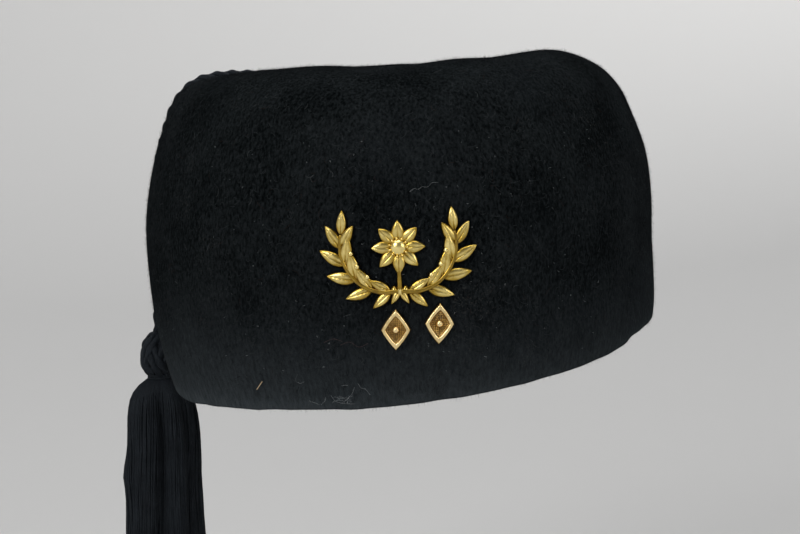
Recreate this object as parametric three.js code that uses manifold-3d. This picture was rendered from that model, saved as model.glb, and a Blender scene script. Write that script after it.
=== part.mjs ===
// A felt fez as worn on a head: a hollow black crown, a twisted cord with a tassel, and gilt badges.
// Sizes are in millimetres. +Z is up, -Y is the front of the hat and +X is the wearer's left.
// The origin is the middle of the head opening, level with the rim in front.
import * as THREE from "three";
import { ConvexGeometry } from "three/addons/geometries/ConvexGeometry.js";
import { ParametricGeometry } from "three/addons/geometries/ParametricGeometry.js";
import { mergeVertices } from "three/addons/utils/BufferGeometryUtils.js";
import Module from "manifold-3d";

const GAP = 0.3;                 // space between pieces that touch on the real hat

// Crown: one piece of felt blocked over an oval form.
const CROWN_HALF_WIDTH = 90;     // widest, across the head
const CROWN_HALF_DEPTH = 108;    // widest, front to back
const FELT_THICKNESS = 2.5;
// Each row is a level of the outside: its height, and its share of the widest oval.
const CROWN_LEVELS = [
  { height: -18, share: 0.871 },
  { height: 0, share: 0.941 },
  { height: 18, share: 0.985 },
  { height: 36, share: 0.997 },
  { height: 54, share: 0.999 },
  { height: 70.5, share: 0.977 },
  { height: 84.5, share: 0.9315 },
  { height: 95, share: 0.8805 },
  { height: 102, share: 0.797 },
  { height: 105.5, share: 0.65 },
  { height: 106.7, share: 0.444 },
  { height: 106.6, share: 0.22 },
  { height: 106.4, share: 0 },
];
// The rim rises towards the wearer's left: height = slope * s + bow * s^2 + flick * s^3,
// where s runs from -1 at the wearer's right side to 1 at the left side.
const RIM_RISE = { slope: 6.3, bow: 4.1, flick: 3.7 };
// The cut edge steps up at the wearer's left front, and the step fades out towards the side.
const RIM_STEP = { from: -33.4, to: -12, rise: 1.5 };   // degrees round the crown, and millimetres
// Where the wearer's left side stands out from the oval, or lies inside it.
const LEFT_SIDE_BANDS = [
  { name: "flare over the rim", height: 13, spread: 12, out: 1.2 },
  { name: "hollow at the middle", height: 44, spread: 10, out: -0.7 },
  { name: "fullness under the shoulder", height: 72, spread: 11, out: 0.5 },
];
// Soft dents and swellings of the top, each a rounded patch at x, y with its two spreads.
const TOP_DENTS = [
  { name: "sunken middle", x: 0, y: 0, spreadX: 44, spreadY: 36, rise: -8 },
  { name: "hollow under the cord", x: -48, y: 15.5, spreadX: 27, spreadY: 18, rise: -3.4 },
  { name: "swelling at the left front", x: 53.5, y: -20, spreadX: 17, spreadY: 45, rise: 4 },
  { name: "flat beside the swelling", x: 22, y: -62, spreadX: 14, spreadY: 38, rise: 0.8 },
  { name: "dip at the front", x: -2, y: -62, spreadX: 18, spreadY: 38, rise: -0.9 },
  { name: "rise at the right front", x: -41, y: -62, spreadX: 15, spreadY: 38, rise: 0.5 },
];
const DENTS_END_AT = 36;         // the dents fade out down the wall, from the top to this height
const DENTS_FULL_AT = 106;
const CROWN_COLUMNS = 56;
const CROWN_ROWS = 18;

// Button at the middle of the top, where the cord is sewn on.
const BUTTON_BASE = 99.1;
const BUTTON_OUTLINE = [
  { out: 4.5, up: 0 },
  { out: 6.3, up: 1.5 },
  { out: 6.5, up: 2.8 },
  { out: 5.8, up: 4.4 },
  { out: 3.5, up: 5.4 },
];

// Cord: three twisted strands, laid across the top, over the right shoulder and down the side.
const CORD_DIAMETER = 4.8;
const CORD_SIDES = 8;
const CORD_STEPS = 40;
const CORD_ROUTE = [
  [-7.4, 2.3, 101.4],
  [-17.8, 5.5, 102.1],
  [-27.9, 8.7, 102.9],
  [-38.3, 11.9, 103.3],
  [-46, 14.3, 103.7],
  [-51.5, 15.9, 104],
  [-56.3, 17.4, 104.2],
  [-61.1, 18.8, 104.2],
  [-65.4, 20.1, 103.8],
  [-69.3, 21.3, 103],
  [-72.9, 22.4, 101.5],
  [-75.9, 23.3, 99.2],
  [-78.4, 24, 96.4],
  [-80.5, 24.7, 93.2],
  [-82.6, 25.3, 88.4],
  [-84.4, 25.9, 83.1],
  [-86.4, 26.6, 77],
  [-88, 27, 70.3],
  [-89.1, 27.4, 63],
  [-89.8, 27.6, 55.4],
  [-90, 27.7, 44],
  [-90, 27.7, 30],
  [-90.2, 27.7, 18],
  [-90.6, 27.7, 9],
  [-90.8, 27.7, 0],
  [-90.8, 27.7, -15],
  [-90.8, 27.7, -31],
];
const HANGING_AT = new THREE.Vector2(-90.8, 27.7);

// Knot: an egg-shaped ball of wound thread with the cord running through it.
const KNOT_OUTLINE = [
  { out: 5, up: -6.1 },
  { out: 6.6, up: -4.4 },
  { out: 7.5, up: -1.9 },
  { out: 7.7, up: 0.4 },
  { out: 7.4, up: 3 },
  { out: 6.6, up: 5.8 },
  { out: 5.2, up: 8.4 },
  { out: 4, up: 9.8 },
];

// Tassel: a gathered head with locks of thread that hang from it.
const TASSEL_TOP = -6.6;
const TASSEL_SOCKET_DEPTH = 25;
const TASSEL_LEAN = 3.2;         // degrees, outwards below the socket
const LOCK_COUNT = 11;
const LOCK_SIDES = 8;
// The core that the locks are sewn to: depth below the top, and radius.
const TASSEL_CORE = [
  { down: 0, out: 4.8 },
  { down: 3, out: 7 },
  { down: 8, out: 9.6 },
  { down: 16, out: 10.6 },
  { down: 104, out: 10.8 },
];
// One lock: depth of each station, distance of its middle from the tassel's axis, and half thickness.
const LOCK_STATIONS = [
  { down: 0.6, out: 3.8, half: 0 },
  { down: 1.4, out: 4.7, half: 1.5 },
  { down: 4, out: 7.3, half: 2.4 },
  { down: 9, out: 9.6, half: 3 },
  { down: 17, out: 10.6, half: 3.3 },
  { down: 34, out: 10.7, half: 3.5 },
  { down: 58, out: 11.3, half: 3.4 },
  { down: 84, out: 11.6, half: 3.5 },
  { down: 108, out: 12, half: 3.2 },
  { down: 114, out: 12.2, half: 0 },
];

// Badge: a gilt spray of leaves and berries around a rosette, standing on the front of the crown.
const BADGE_AT = { x: -3.6, height: 46.6 };
const STEM_RADIUS = 0.8;
// The wearer's left branch, from the tie outwards and up. The other branch mirrors it.
const BRANCH_ROUTE = [
  [0.5, -10.6],
  [5.8, -10.8],
  [11.4, -8.6],
  [15.4, -4.2],
  [17.5, 1.4],
  [17.2, 7],
];
// Pairs of leaves along a branch: place along it, leaf length, and angle away from the branch.
const LEAF_PAIRS = [
  { along: 0.1, length: 7.4, spread: 36 },
  { along: 0.29, length: 8.6, spread: 36 },
  { along: 0.48, length: 9.2, spread: 35 },
  { along: 0.67, length: 9, spread: 34 },
  { along: 0.85, length: 8.2, spread: 32 },
  { along: 1, length: 7.6, spread: 0 },
];
const LEAF_WIDTH_SHARE = 0.46;
const LEAF_EDGE = 0.5;
const LEAF_RIDGE = 1.5;
const BERRY_RADIUS = 1.05;
const BERRIES_ALONG = [0.4, 0.59, 0.77];
const BERRY_OUT = 3.1;           // distance of a berry from the branch, on its inner side
const ROSETTE_UP = 2.8;          // its middle over the badge's middle
const ROSETTE_PETALS = 8;
const ROSETTE_PETAL = { at: 4.7, long: 3.5, wide: 2.1, high: 1.6 };
const ROSETTE_BOSS = { radius: 2.8, high: 2.2 };
const TIE = { wide: 2.9, tall: 1.7, high: 1.6 };
const TIE_TAILS = [-58, -122];   // directions of the two ends under the tie, in degrees
const TIE_TAIL_LENGTH = 5.2;

// Studs: two small gilt lozenges with a raised edge and a pearl, under the badge.
const STUD_WIDTH = 9.4;
const STUD_HEIGHT = 13;
const STUD_PLATE = 0.9;
const STUD_EDGE = 1.6;
const STUD_FIELD_SHARE = 0.62;   // size of the sunk field inside the edge, as a share of the stud
const STUD_PEARL = 1.3;
const STUDS = [
  { name: "stud_right", x: -5.3, height: 24, turn: -2 },
  { name: "stud_left", x: 8, height: 25.3, turn: -4 },
];

const FELT_BLACK = { color: 0x15181a, roughness: 0.95, metalness: 0 };
const THREAD_BLACK = { color: 0x121417, roughness: 0.8, metalness: 0 };
const GILT = { color: 0xc9a544, roughness: 0.35, metalness: 1 };

const wasm = await Module();
wasm.setup();

// The geometry as a closed solid.
function solidOf(geometry) {
  const bare = new THREE.BufferGeometry();
  bare.setAttribute("position", geometry.getAttribute("position"));
  bare.setIndex(geometry.getIndex());
  const welded = mergeVertices(bare, 1e-4);
  return new wasm.Manifold(new wasm.Mesh({
    numProp: 3,
    vertProperties: new Float32Array(welded.getAttribute("position").array),
    triVerts: new Uint32Array(welded.getIndex().array),
  }));
}

// All the geometries joined into one.
function joined(geometries) {
  const whole = geometries.map(solidOf).reduce((sum, next) => sum.add(next));
  const mesh = whole.getMesh();
  const geometry = new THREE.BufferGeometry();
  geometry.setAttribute("position", new THREE.BufferAttribute(mesh.vertProperties, 3));
  geometry.setIndex(new THREE.BufferAttribute(mesh.triVerts, 1));
  return geometry;
}

function named(name, geometry, look) {
  geometry.computeVertexNormals();
  const mesh = new THREE.Mesh(geometry, new THREE.MeshStandardMaterial(look));
  mesh.name = name;
  return mesh;
}

// A solid of revolution about Z from its outline, bottom first.
function turned(outline, columns) {
  const points = outline.map((row) => new THREE.Vector2(row.out, row.up));
  return new THREE.LatheGeometry(points, columns).rotateX(Math.PI / 2);
}

// A round bar that follows a curve.
function tubeAlong(curve, radius, sides, steps) {
  const corners = Array.from({ length: sides }, (_, corner) => {
    const angle = (corner * 2 * Math.PI) / sides;
    return new THREE.Vector2(radius * Math.cos(angle), radius * Math.sin(angle));
  });
  const section = new THREE.Shape(corners);
  return new THREE.ExtrudeGeometry(section, { steps, bevelEnabled: false, extrudePath: curve });
}

// The crown's outside.
const levelCurve = new THREE.SplineCurve(
  CROWN_LEVELS.map((level) => new THREE.Vector2(level.share, level.height)),
);

function dentAt(x, y, height) {
  const fade = THREE.MathUtils.smoothstep(height, DENTS_END_AT, DENTS_FULL_AT);
  const sum = TOP_DENTS.reduce((total, dent) => {
    const acrossX = ((x - dent.x) / dent.spreadX) ** 2;
    const acrossY = ((y - dent.y) / dent.spreadY) ** 2;
    return total + dent.rise * Math.exp(-acrossX - acrossY);
  }, 0);
  return fade * sum;
}

// How far the side stands out: full at the wearer's left, nothing from the front and the back on.
function sideOut(angle, height) {
  const share = Math.max(0, Math.cos(angle)) ** 4;
  return LEFT_SIDE_BANDS.reduce((total, band) => {
    const away = (height - band.height) / band.spread;
    return total + share * band.out * Math.exp(-(away ** 2));
  }, 0);
}

// A point of the outside at an angle round the crown and a place along the level curve (1 is the top).
function crownOutside(angle, along) {
  const level = levelCurve.getPoint(along);
  const x = CROWN_HALF_WIDTH * level.x * Math.cos(angle);
  const y = CROWN_HALF_DEPTH * level.x * Math.sin(angle);
  return new THREE.Vector3(x + sideOut(angle, level.y), y, level.y + dentAt(x, y, level.y));
}

function crownNormal(angle, along) {
  if (along > 0.999) {
    return new THREE.Vector3(0, 0, 1);
  }
  const step = 1e-4;
  const round = crownOutside(angle + step, along).sub(crownOutside(angle - step, along));
  const upward = crownOutside(angle, along + step).sub(crownOutside(angle, along - step));
  return round.cross(upward).normalize();
}

// The place along the level curve where the wall reaches a height.
function alongAtHeight(height) {
  let low = 0;
  let high = 0.6;
  for (let halving = 0; halving < 40; halving += 1) {
    const middle = (low + high) / 2;
    if (levelCurve.getPoint(middle).y < height) {
      low = middle;
    } else {
      high = middle;
    }
  }
  return low;
}

function rimHeight(angle) {
  const side = Math.cos(angle);
  const rise = RIM_RISE.slope * side + RIM_RISE.bow * side ** 2 + RIM_RISE.flick * side ** 3;
  const degrees = THREE.MathUtils.radToDeg(Math.atan2(Math.sin(angle), side));
  const stepShare = (RIM_STEP.to - degrees) / (RIM_STEP.to - RIM_STEP.from);
  const onStep = stepShare > 0 && stepShare <= 1;
  return onStep ? rise + RIM_STEP.rise * stepShare : rise;
}

// The shell runs from the middle of the inside down to the rim, and up the outside to the top.
function crownShell(u, v, target) {
  const angle = u * 2 * Math.PI;
  const row = Math.round(v * (2 * CROWN_ROWS + 1));
  const inside = row <= CROWN_ROWS;
  const climb = (inside ? CROWN_ROWS - row : row - CROWN_ROWS - 1) / CROWN_ROWS;
  const rim = alongAtHeight(rimHeight(angle));
  const along = rim + (1 - rim) * climb;
  target.copy(crownOutside(angle, along));
  if (inside) {
    target.addScaledVector(crownNormal(angle, along), -FELT_THICKNESS);
  }
}

const crown = new ParametricGeometry(crownShell, CROWN_COLUMNS, 2 * CROWN_ROWS + 1);

// Button.
const button = turned(
  [{ out: 0, up: 0 }, ...BUTTON_OUTLINE, { out: 0, up: 6 }],
  16,
).translate(0, 0, BUTTON_BASE);

// Cord.
const cordCurve = new THREE.CatmullRomCurve3(
  CORD_ROUTE.map((point) => new THREE.Vector3(...point)),
  false,
  "centripetal",
);
const cord = tubeAlong(cordCurve, CORD_DIAMETER / 2, CORD_SIDES, CORD_STEPS);

// Knot.
const cordHole = CORD_DIAMETER / 2 + GAP;
const knotFoot = { out: cordHole, up: KNOT_OUTLINE[0].up };
const knotTop = { out: cordHole, up: KNOT_OUTLINE.at(-1).up };
const knot = turned([knotFoot, ...KNOT_OUTLINE, knotTop, knotFoot], 16)
  .translate(HANGING_AT.x, HANGING_AT.y, 0);

// Tassel.
function leanedOut(geometry) {
  const place = geometry.getAttribute("position");
  for (let index = 0; index < place.count; index += 1) {
    const below = Math.max(0, -place.getZ(index) - TASSEL_SOCKET_DEPTH);
    place.setX(index, place.getX(index) - below * Math.tan(THREE.MathUtils.degToRad(TASSEL_LEAN)));
  }
  return geometry;
}

const coreSide = TASSEL_CORE.map((row) => ({ out: row.out, up: -row.down })).reverse();
const tasselCore = turned(
  [
    { out: 0, up: -TASSEL_CORE.at(-1).down },
    ...coreSide,
    { out: cordHole, up: 0 },
    { out: cordHole, up: -TASSEL_SOCKET_DEPTH },
    { out: 0, up: -TASSEL_SOCKET_DEPTH },
  ],
  22,
);

// Each lock has its own fullness, wave and length.
function tasselLock(number) {
  const angle = (number * 2 * Math.PI) / LOCK_COUNT;
  const fullness = 1 + 0.1 * Math.sin(number * 2.4);
  const wave = 0.05 * Math.sin(number * 1.7 + 0.6);
  const stretch = 1 + 0.022 * Math.sin(number * 3.1);
  const surface = (u, v, target) => {
    const row = Math.round(v * (LOCK_STATIONS.length - 1));
    const station = LOCK_STATIONS[row];
    const turn = angle + wave * Math.sin(station.down / 17);
    const round = u * 2 * Math.PI;
    const out = station.out + station.half * fullness * Math.cos(round);
    const aside = station.half * fullness * Math.sin(round);
    target.set(
      out * Math.cos(turn) + aside * Math.sin(turn),
      out * Math.sin(turn) - aside * Math.cos(turn),
      -station.down * stretch,
    );
  };
  return new ParametricGeometry(surface, LOCK_SIDES, LOCK_STATIONS.length - 1);
}

const locks = Array.from({ length: LOCK_COUNT }, (_, number) => tasselLock(number));
const tassel = leanedOut(joined([tasselCore, ...locks]))
  .translate(HANGING_AT.x, HANGING_AT.y, TASSEL_TOP);

// The front of the crown as a place to set gilt pieces: a point for each x and height.
function frontPoint(x, height) {
  const share = levelCurve.getPoint(alongAtHeight(height)).x;
  const side = x / (CROWN_HALF_WIDTH * share);
  return new THREE.Vector3(x, -CROWN_HALF_DEPTH * share * Math.sqrt(1 - side ** 2), height);
}

function frontAxes(x, height) {
  const step = 0.05;
  const across = frontPoint(x + step, height).sub(frontPoint(x - step, height)).normalize();
  const upward = frontPoint(x, height + step).sub(frontPoint(x, height - step)).normalize();
  const outward = across.clone().cross(upward).normalize();
  return { across, upward: outward.clone().cross(across), outward };
}

// Sets a piece made flat on XY, face to +Z, on the front of the crown, turned by some degrees.
function setOnFront(geometry, x, height, turn) {
  const { across, upward, outward } = frontAxes(x, height);
  const seat = frontPoint(x, height).addScaledVector(outward, GAP);
  const place = new THREE.Matrix4().makeBasis(across, upward, outward).setPosition(seat);
  return geometry.rotateZ(THREE.MathUtils.degToRad(turn)).applyMatrix4(place);
}

function setOnBadge(geometry, right, up, turn) {
  return setOnFront(geometry, BADGE_AT.x + right, BADGE_AT.height + up, turn);
}

// A pointed leaf along +X with a ridge down its middle.
function leafShape(length) {
  const half = (length * LEAF_WIDTH_SHARE) / 2;
  const outline = [[0, 0.25], [0.25, 0.85], [0.5, 1], [0.8, 0.55], [1, 0]];
  const points = [];
  for (const [along, wide] of outline) {
    for (const side of [-1, 1]) {
      points.push(new THREE.Vector3(along * length, side * wide * half, 0));
      points.push(new THREE.Vector3(along * length, side * wide * half, LEAF_EDGE));
    }
  }
  points.push(new THREE.Vector3(0.12 * length, 0, LEAF_RIDGE));
  points.push(new THREE.Vector3(0.8 * length, 0, LEAF_RIDGE));
  return new ConvexGeometry(points);
}

// A rounded lump on the face, cut flat behind.
function lump(halfX, halfY, high, columns) {
  const rise = [
    { out: 0, up: 0 },
    { out: 1, up: 0 },
    { out: 0.92, up: 0.45 },
    { out: 0.6, up: 0.82 },
    { out: 0, up: 1 },
  ];
  return turned(rise, columns).scale(halfX, halfY, high);
}

function stemAlong(points) {
  const curve = new THREE.CatmullRomCurve3(points.map(([right, up]) => {
    const x = BADGE_AT.x + right;
    const height = BADGE_AT.height + up;
    return frontPoint(x, height).addScaledVector(frontAxes(x, height).outward, GAP + STEM_RADIUS);
  }));
  return tubeAlong(curve, STEM_RADIUS, 6, 9);
}

// Badge: the stems, then the leaves and berries on both branches, then the tie and the rosette.
const badgePieces = [];
for (const side of [1, -1]) {
  const route = BRANCH_ROUTE.map(([right, up]) => [side * right, up]);
  const branch = new THREE.SplineCurve(route.map(([right, up]) => new THREE.Vector2(right, up)));
  badgePieces.push(stemAlong(route));
  for (const pair of LEAF_PAIRS) {
    const foot = branch.getPoint(pair.along);
    const heading = THREE.MathUtils.radToDeg(branch.getTangent(pair.along).angle());
    const turns = pair.spread === 0 ? [0] : [-pair.spread, pair.spread];
    for (const turn of turns) {
      badgePieces.push(setOnBadge(leafShape(pair.length), foot.x, foot.y, heading + turn));
    }
  }
  for (const along of BERRIES_ALONG) {
    const foot = branch.getPoint(along);
    const ahead = branch.getTangent(along);
    const right = foot.x - side * ahead.y * BERRY_OUT;
    const up = foot.y + side * ahead.x * BERRY_OUT;
    badgePieces.push(setOnBadge(lump(BERRY_RADIUS, BERRY_RADIUS, 2, 7), right, up, 0));
  }
}
badgePieces.push(stemAlong([[0, -10.6], [0, -6], [0, -1]]));
badgePieces.push(setOnBadge(lump(TIE.wide, TIE.tall, TIE.high, 10), 0, -10.6, 0));
for (const direction of TIE_TAILS) {
  badgePieces.push(setOnBadge(leafShape(TIE_TAIL_LENGTH), 0, -10.2, direction));
}
for (let petal = 0; petal < ROSETTE_PETALS; petal += 1) {
  const turn = (petal * 360) / ROSETTE_PETALS;
  const right = ROSETTE_PETAL.at * Math.cos(THREE.MathUtils.degToRad(turn));
  const up = ROSETTE_UP + ROSETTE_PETAL.at * Math.sin(THREE.MathUtils.degToRad(turn));
  const shape = lump(ROSETTE_PETAL.long, ROSETTE_PETAL.wide, ROSETTE_PETAL.high, 9);
  badgePieces.push(setOnBadge(shape, right, up, turn));
}
const boss = lump(ROSETTE_BOSS.radius, ROSETTE_BOSS.radius, ROSETTE_BOSS.high, 10);
badgePieces.push(setOnBadge(boss, 0, ROSETTE_UP, 0));
const badge = joined(badgePieces);

// Studs.
function lozenge(share) {
  return [[1, 0], [0, 1], [-1, 0], [0, -1]].map(
    ([across, up]) => new THREE.Vector2((across * share * STUD_WIDTH) / 2, (up * share * STUD_HEIGHT) / 2),
  );
}

function studShape() {
  const plate = new THREE.ExtrudeGeometry(new THREE.Shape(lozenge(0.9)), {
    depth: STUD_PLATE,
    bevelEnabled: false,
  });
  const ring = new THREE.Shape(lozenge(1));
  ring.holes.push(new THREE.Path(lozenge(STUD_FIELD_SHARE)));
  const edge = new THREE.ExtrudeGeometry(ring, { depth: STUD_EDGE, bevelEnabled: false });
  const pearl = lump(STUD_PEARL, STUD_PEARL, STUD_EDGE + 0.4, 10);
  return joined([plate, edge, pearl]);
}

const hat = new THREE.Group();
hat.add(named("crown", crown, FELT_BLACK));
hat.add(named("crown_button", button, THREAD_BLACK));
hat.add(named("cord", cord, THREAD_BLACK));
hat.add(named("tassel_knot", knot, THREAD_BLACK));
hat.add(named("tassel", tassel, THREAD_BLACK));
hat.add(named("badge", badge, GILT));
for (const stud of STUDS) {
  hat.add(named(stud.name, setOnFront(studShape(), stud.x, stud.height, stud.turn), GILT));
}

export default hat;
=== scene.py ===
import math

import bpy
import numpy as np
from mathutils import Matrix, Vector


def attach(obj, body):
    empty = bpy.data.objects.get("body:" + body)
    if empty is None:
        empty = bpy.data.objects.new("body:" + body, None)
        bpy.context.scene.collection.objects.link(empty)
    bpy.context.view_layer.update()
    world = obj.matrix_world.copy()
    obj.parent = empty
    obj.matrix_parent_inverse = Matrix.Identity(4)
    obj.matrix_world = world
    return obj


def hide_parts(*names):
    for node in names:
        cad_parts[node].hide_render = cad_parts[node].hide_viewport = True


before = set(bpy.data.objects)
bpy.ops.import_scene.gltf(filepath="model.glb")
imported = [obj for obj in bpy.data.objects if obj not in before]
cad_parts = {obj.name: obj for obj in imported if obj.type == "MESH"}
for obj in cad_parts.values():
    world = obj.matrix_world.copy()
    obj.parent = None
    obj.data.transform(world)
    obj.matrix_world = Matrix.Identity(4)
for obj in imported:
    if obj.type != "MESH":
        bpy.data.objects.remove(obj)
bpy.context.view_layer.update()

# Studio: a wide pale sweep of paper that rises all round, lit by large soft panels above and in
# front, with the camera a little under the height of the hat's top and tipped a touch.
CAMERA_AIM = Vector((-0.0004, 0.0, 0.0329))
CAMERA_DISTANCE = 0.72
CAMERA_TURN = math.radians(-1.54)
CAMERA_RISE = math.radians(5.46)
CAMERA_TIP = math.radians(2.34)
CAMERA_LENS, CAMERA_SENSOR = 89.85, 36
CAMERA_NEAREST = 0.01
FLOOR_HEIGHT = -0.14
FLOOR_FLAT_TO = 0.4
SWEEP_MIDDLE, SWEEP_RADIUS = 0.001, 2.8
SWEEP_STEPS, SWEEP_AROUND = 40, 180
PAPER_TONE = (0.640, 0.633, 0.623, 1)
PAPER_ROUGHNESS, PAPER_SPECULAR = 0.9, 0.1
SKY_TONE, SKY_STRENGTH = (0.93, 0.96, 1.0, 1), 0.35
# Each panel: name, place, what it faces, width in metres, watts.
LIGHT_PANELS = [
    ("panel_overhead", (-0.1, -0.35, 1.5), (0, 0, 0.05), 1.2, 10),
    ("panel_front_left", (-1.0, -1.4, 0.95), (0, 0, 0.04), 0.8, 11.2),
    ("panel_front_right", (1.2, -1.2, 0.6), (0, 0, 0.04), 0.8, 4.4),
    ("panel_back", (0.3, 1.2, 1.5), (0, 0, 0.05), 0.7, 4),
    ("panel_backdrop", (1.0, 0.8, 1.7), (0.8, 3.0, 2.0), 1.4, 40),
]


def plain_material(name, tone, roughness, metallic=0.0):
    """A named material and its main shader."""
    material = bpy.data.materials.new(name)
    material.use_nodes = True
    shader = material.node_tree.nodes["Principled BSDF"]
    shader.inputs["Base Color"].default_value = tone
    shader.inputs["Roughness"].default_value = roughness
    shader.inputs["Metallic"].default_value = metallic
    return material, shader


def new_piece(name, points, faces, material):
    """A smooth-shaded mesh object from points in metres."""
    mesh = bpy.data.meshes.new(name)
    mesh.from_pydata(np.asarray(points).tolist(), [], faces)
    mesh.materials.append(material)
    mesh.polygons.foreach_set("use_smooth", [True] * len(mesh.polygons))
    mesh.update()
    piece = bpy.data.objects.new(name, mesh)
    bpy.context.scene.collection.objects.link(piece)
    return piece


def ring_faces(rings, around):
    """Quads between closed rings of points that follow each other."""
    ring, place = np.meshgrid(np.arange(rings - 1), np.arange(around), indexing="ij")
    beside = (place + 1) % around
    low = ring * around
    quads = np.stack([low + place, low + beside, low + around + beside, low + around + place], -1)
    return quads.reshape(-1, 4).tolist()


def turned_points(outline, around):
    """Points of an outline of (out, up) rows, turned round the upright axis."""
    outline = np.asarray(outline, float)
    angle = np.linspace(0, 2 * np.pi, around, endpoint=False)
    out, up = outline[:, :1], outline[:, 1:]
    rows = np.stack([out * np.cos(angle), out * np.sin(angle), up + 0 * angle], -1)
    return rows.reshape(-1, 3)


def lay_paper():
    paper, shader = plain_material("pale_paper", PAPER_TONE, PAPER_ROUGHNESS)
    shader.inputs["Specular IOR Level"].default_value = PAPER_SPECULAR
    bend = np.linspace(0, math.pi / 2, SWEEP_STEPS)
    out = np.concatenate([[SWEEP_MIDDLE], FLOOR_FLAT_TO + SWEEP_RADIUS * np.sin(bend)])
    up = FLOOR_HEIGHT + np.concatenate([[0], SWEEP_RADIUS * (1 - np.cos(bend))])
    points = turned_points(np.stack([out, up], -1), SWEEP_AROUND)
    sweep = new_piece("paper_sweep", points, ring_faces(len(out), SWEEP_AROUND), paper)


def light_room():
    world = bpy.data.worlds.new("room")
    world.use_nodes = True
    sky = world.node_tree.nodes["Background"]
    sky.inputs["Color"].default_value = SKY_TONE
    sky.inputs["Strength"].default_value = SKY_STRENGTH
    bpy.context.scene.world = world
    for name, place, aim, width, watts in LIGHT_PANELS:
        panel = bpy.data.lights.new(name, "AREA")
        panel.shape = "SQUARE"
        panel.size = width
        panel.energy = watts
        lamp = bpy.data.objects.new(name, panel)
        lamp.location = place
        lamp.rotation_mode = "QUATERNION"
        lamp.rotation_quaternion = (Vector(aim) - Vector(place)).to_track_quat("-Z", "Y")
        bpy.context.scene.collection.objects.link(lamp)


def set_camera():
    lens = bpy.data.cameras.new("camera")
    lens.lens = CAMERA_LENS
    lens.sensor_width = CAMERA_SENSOR
    lens.clip_start = CAMERA_NEAREST
    camera = bpy.data.objects.new("camera", lens)
    flat = math.cos(CAMERA_RISE)
    back = Vector((math.sin(CAMERA_TURN) * flat, -math.cos(CAMERA_TURN) * flat, math.sin(CAMERA_RISE)))
    right = (-back).cross(Vector((0, 0, 1))).normalized()
    up = right.cross(-back)
    tipped_right = right * math.cos(CAMERA_TIP) - up * math.sin(CAMERA_TIP)
    tipped_up = up * math.cos(CAMERA_TIP) + right * math.sin(CAMERA_TIP)
    turn = Matrix((tipped_right, tipped_up, back)).transposed().to_4x4()
    camera.matrix_world = Matrix.Translation(CAMERA_AIM + back * CAMERA_DISTANCE) @ turn
    bpy.context.scene.collection.objects.link(camera)
    bpy.context.scene.camera = camera


bpy.context.scene.view_settings.view_transform = "Standard"
lay_paper()
light_room()
set_camera()

# Crown: one piece of black fur felt, steamed and blocked over an oval form, with a cut rim that
# rises to the wearer's left and a top that has sunk in the middle and under the cord.
MM = 0.001
HALF_WIDTH, HALF_DEPTH = 90.0, 108.0
FELT_THICKNESS = 2.5
# Levels of the outside: height in millimetres, and share of the widest oval.
CROWN_LEVELS = np.array([
    (-18, 0.871), (0, 0.941), (18, 0.985), (36, 0.997), (54, 0.999), (70.5, 0.977), (84.5, 0.9315),
    (95, 0.8805), (102, 0.797), (105.5, 0.65), (106.7, 0.444), (106.6, 0.22), (106.4, 0),
])
# The upright wall's end along the levels, where 0 is the lowest and 1 the top's middle, and the steps
# that its heights are looked up in.
WALL_END, WALL_STEPS = 0.6, 2000
# Soft dents of the top: middle x and y, spread along x and y, rise, in millimetres.
TOP_DENTS = [
    (0, 0, 44, 36, -8),
    (-48, 15.5, 27, 18, -3.4),
    (53.5, -20, 17, 45, 4.0),
    (22, -62, 14, 38, 0.8),
    (-2, -62, 18, 38, -0.9),
    (-41, -62, 15, 38, 0.5),
]
DENTS_END_AT, DENTS_FULL_AT = 36, 106
# Where the sides stand out or lie in: side (1 the wearer's left, -1 the right), height, spread, amount.
WALL_BULGES = [
    (1, 13, 12, 1.2),
    (1, 44, 10, -0.7),
    (1, 72, 11, 0.5),
    (-1, 36, 12, -0.35),
    (-1, 72, 15, 0.8),
    (-1, 90, 5.5, 0.5),
]
# Slight unevenness of hand blocking, which fades out at the top's middle: waves round the crown,
# waves per millimetre up, shift, size in millimetres.
FELT_WAVES = [(5, 0.043, 0.6, 0.13), (9, -0.059, 1.3, 0.1), (14, 0.09, 2.2, 0.08), (3, 0.12, 4.0, 0.09)]
FELT_WAVES_FADE = 8
# The rim's rise across the hat, and its waves: count, shift, size in millimetres.
RIM_SLOPE, RIM_BOW, RIM_FLICK = 6.3, 4.1, 3.7
RIM_WAVES = [(7, 4.0, 0.25), (13, 2.1, 0.1), (29, 0.4, 0.08), (47, 1.7, 0.05)]
# A step in the rim at the wearer's left front: where it starts, where it has faded out and how soft
# its start is, in degrees, and its rise in millimetres.
RIM_STEP_FROM, RIM_STEP_TO, RIM_STEP_SOFT, RIM_STEP = -33.4, -12, 0.5, 1.5
# The cut edge, from the inside to the outside: distance in from the outside, and drop, in millimetres.
RIM_EDGE = [(2.36, 0.34), (2.1, 0.52), (1.7, 0.6), (1.25, 0.62), (0.8, 0.6), (0.4, 0.52), (0.14, 0.34)]
# The outside wall starts this far over the rim's line.
WALL_FOOT = -0.1
CROWN_AROUND = 480
OUTSIDE_ROWS, INSIDE_ROWS = 120, 30
# The rows end just short of the top's middle, which one more point closes.
ROWS_END = 0.997
# Paleness towards the rim: wear on the rubbed edge, and painted light on the lower wall, a pale band
# that stands for light reflected up from below. Amount and reach in millimetres of each, how much more
# of both the wearer's right side has, and a height over the rim where none is left.
EDGE_WEAR, EDGE_WEAR_REACH = 0.45, 3.0
WALL_PAINTED_LIGHT, WALL_PAINTED_LIGHT_REACH = 0.48, 21.0
WEAR_AND_LIGHT_TO_ONE_SIDE = 0.5
CLEAR_OF_WEAR_AND_LIGHT_AT = 100
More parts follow.
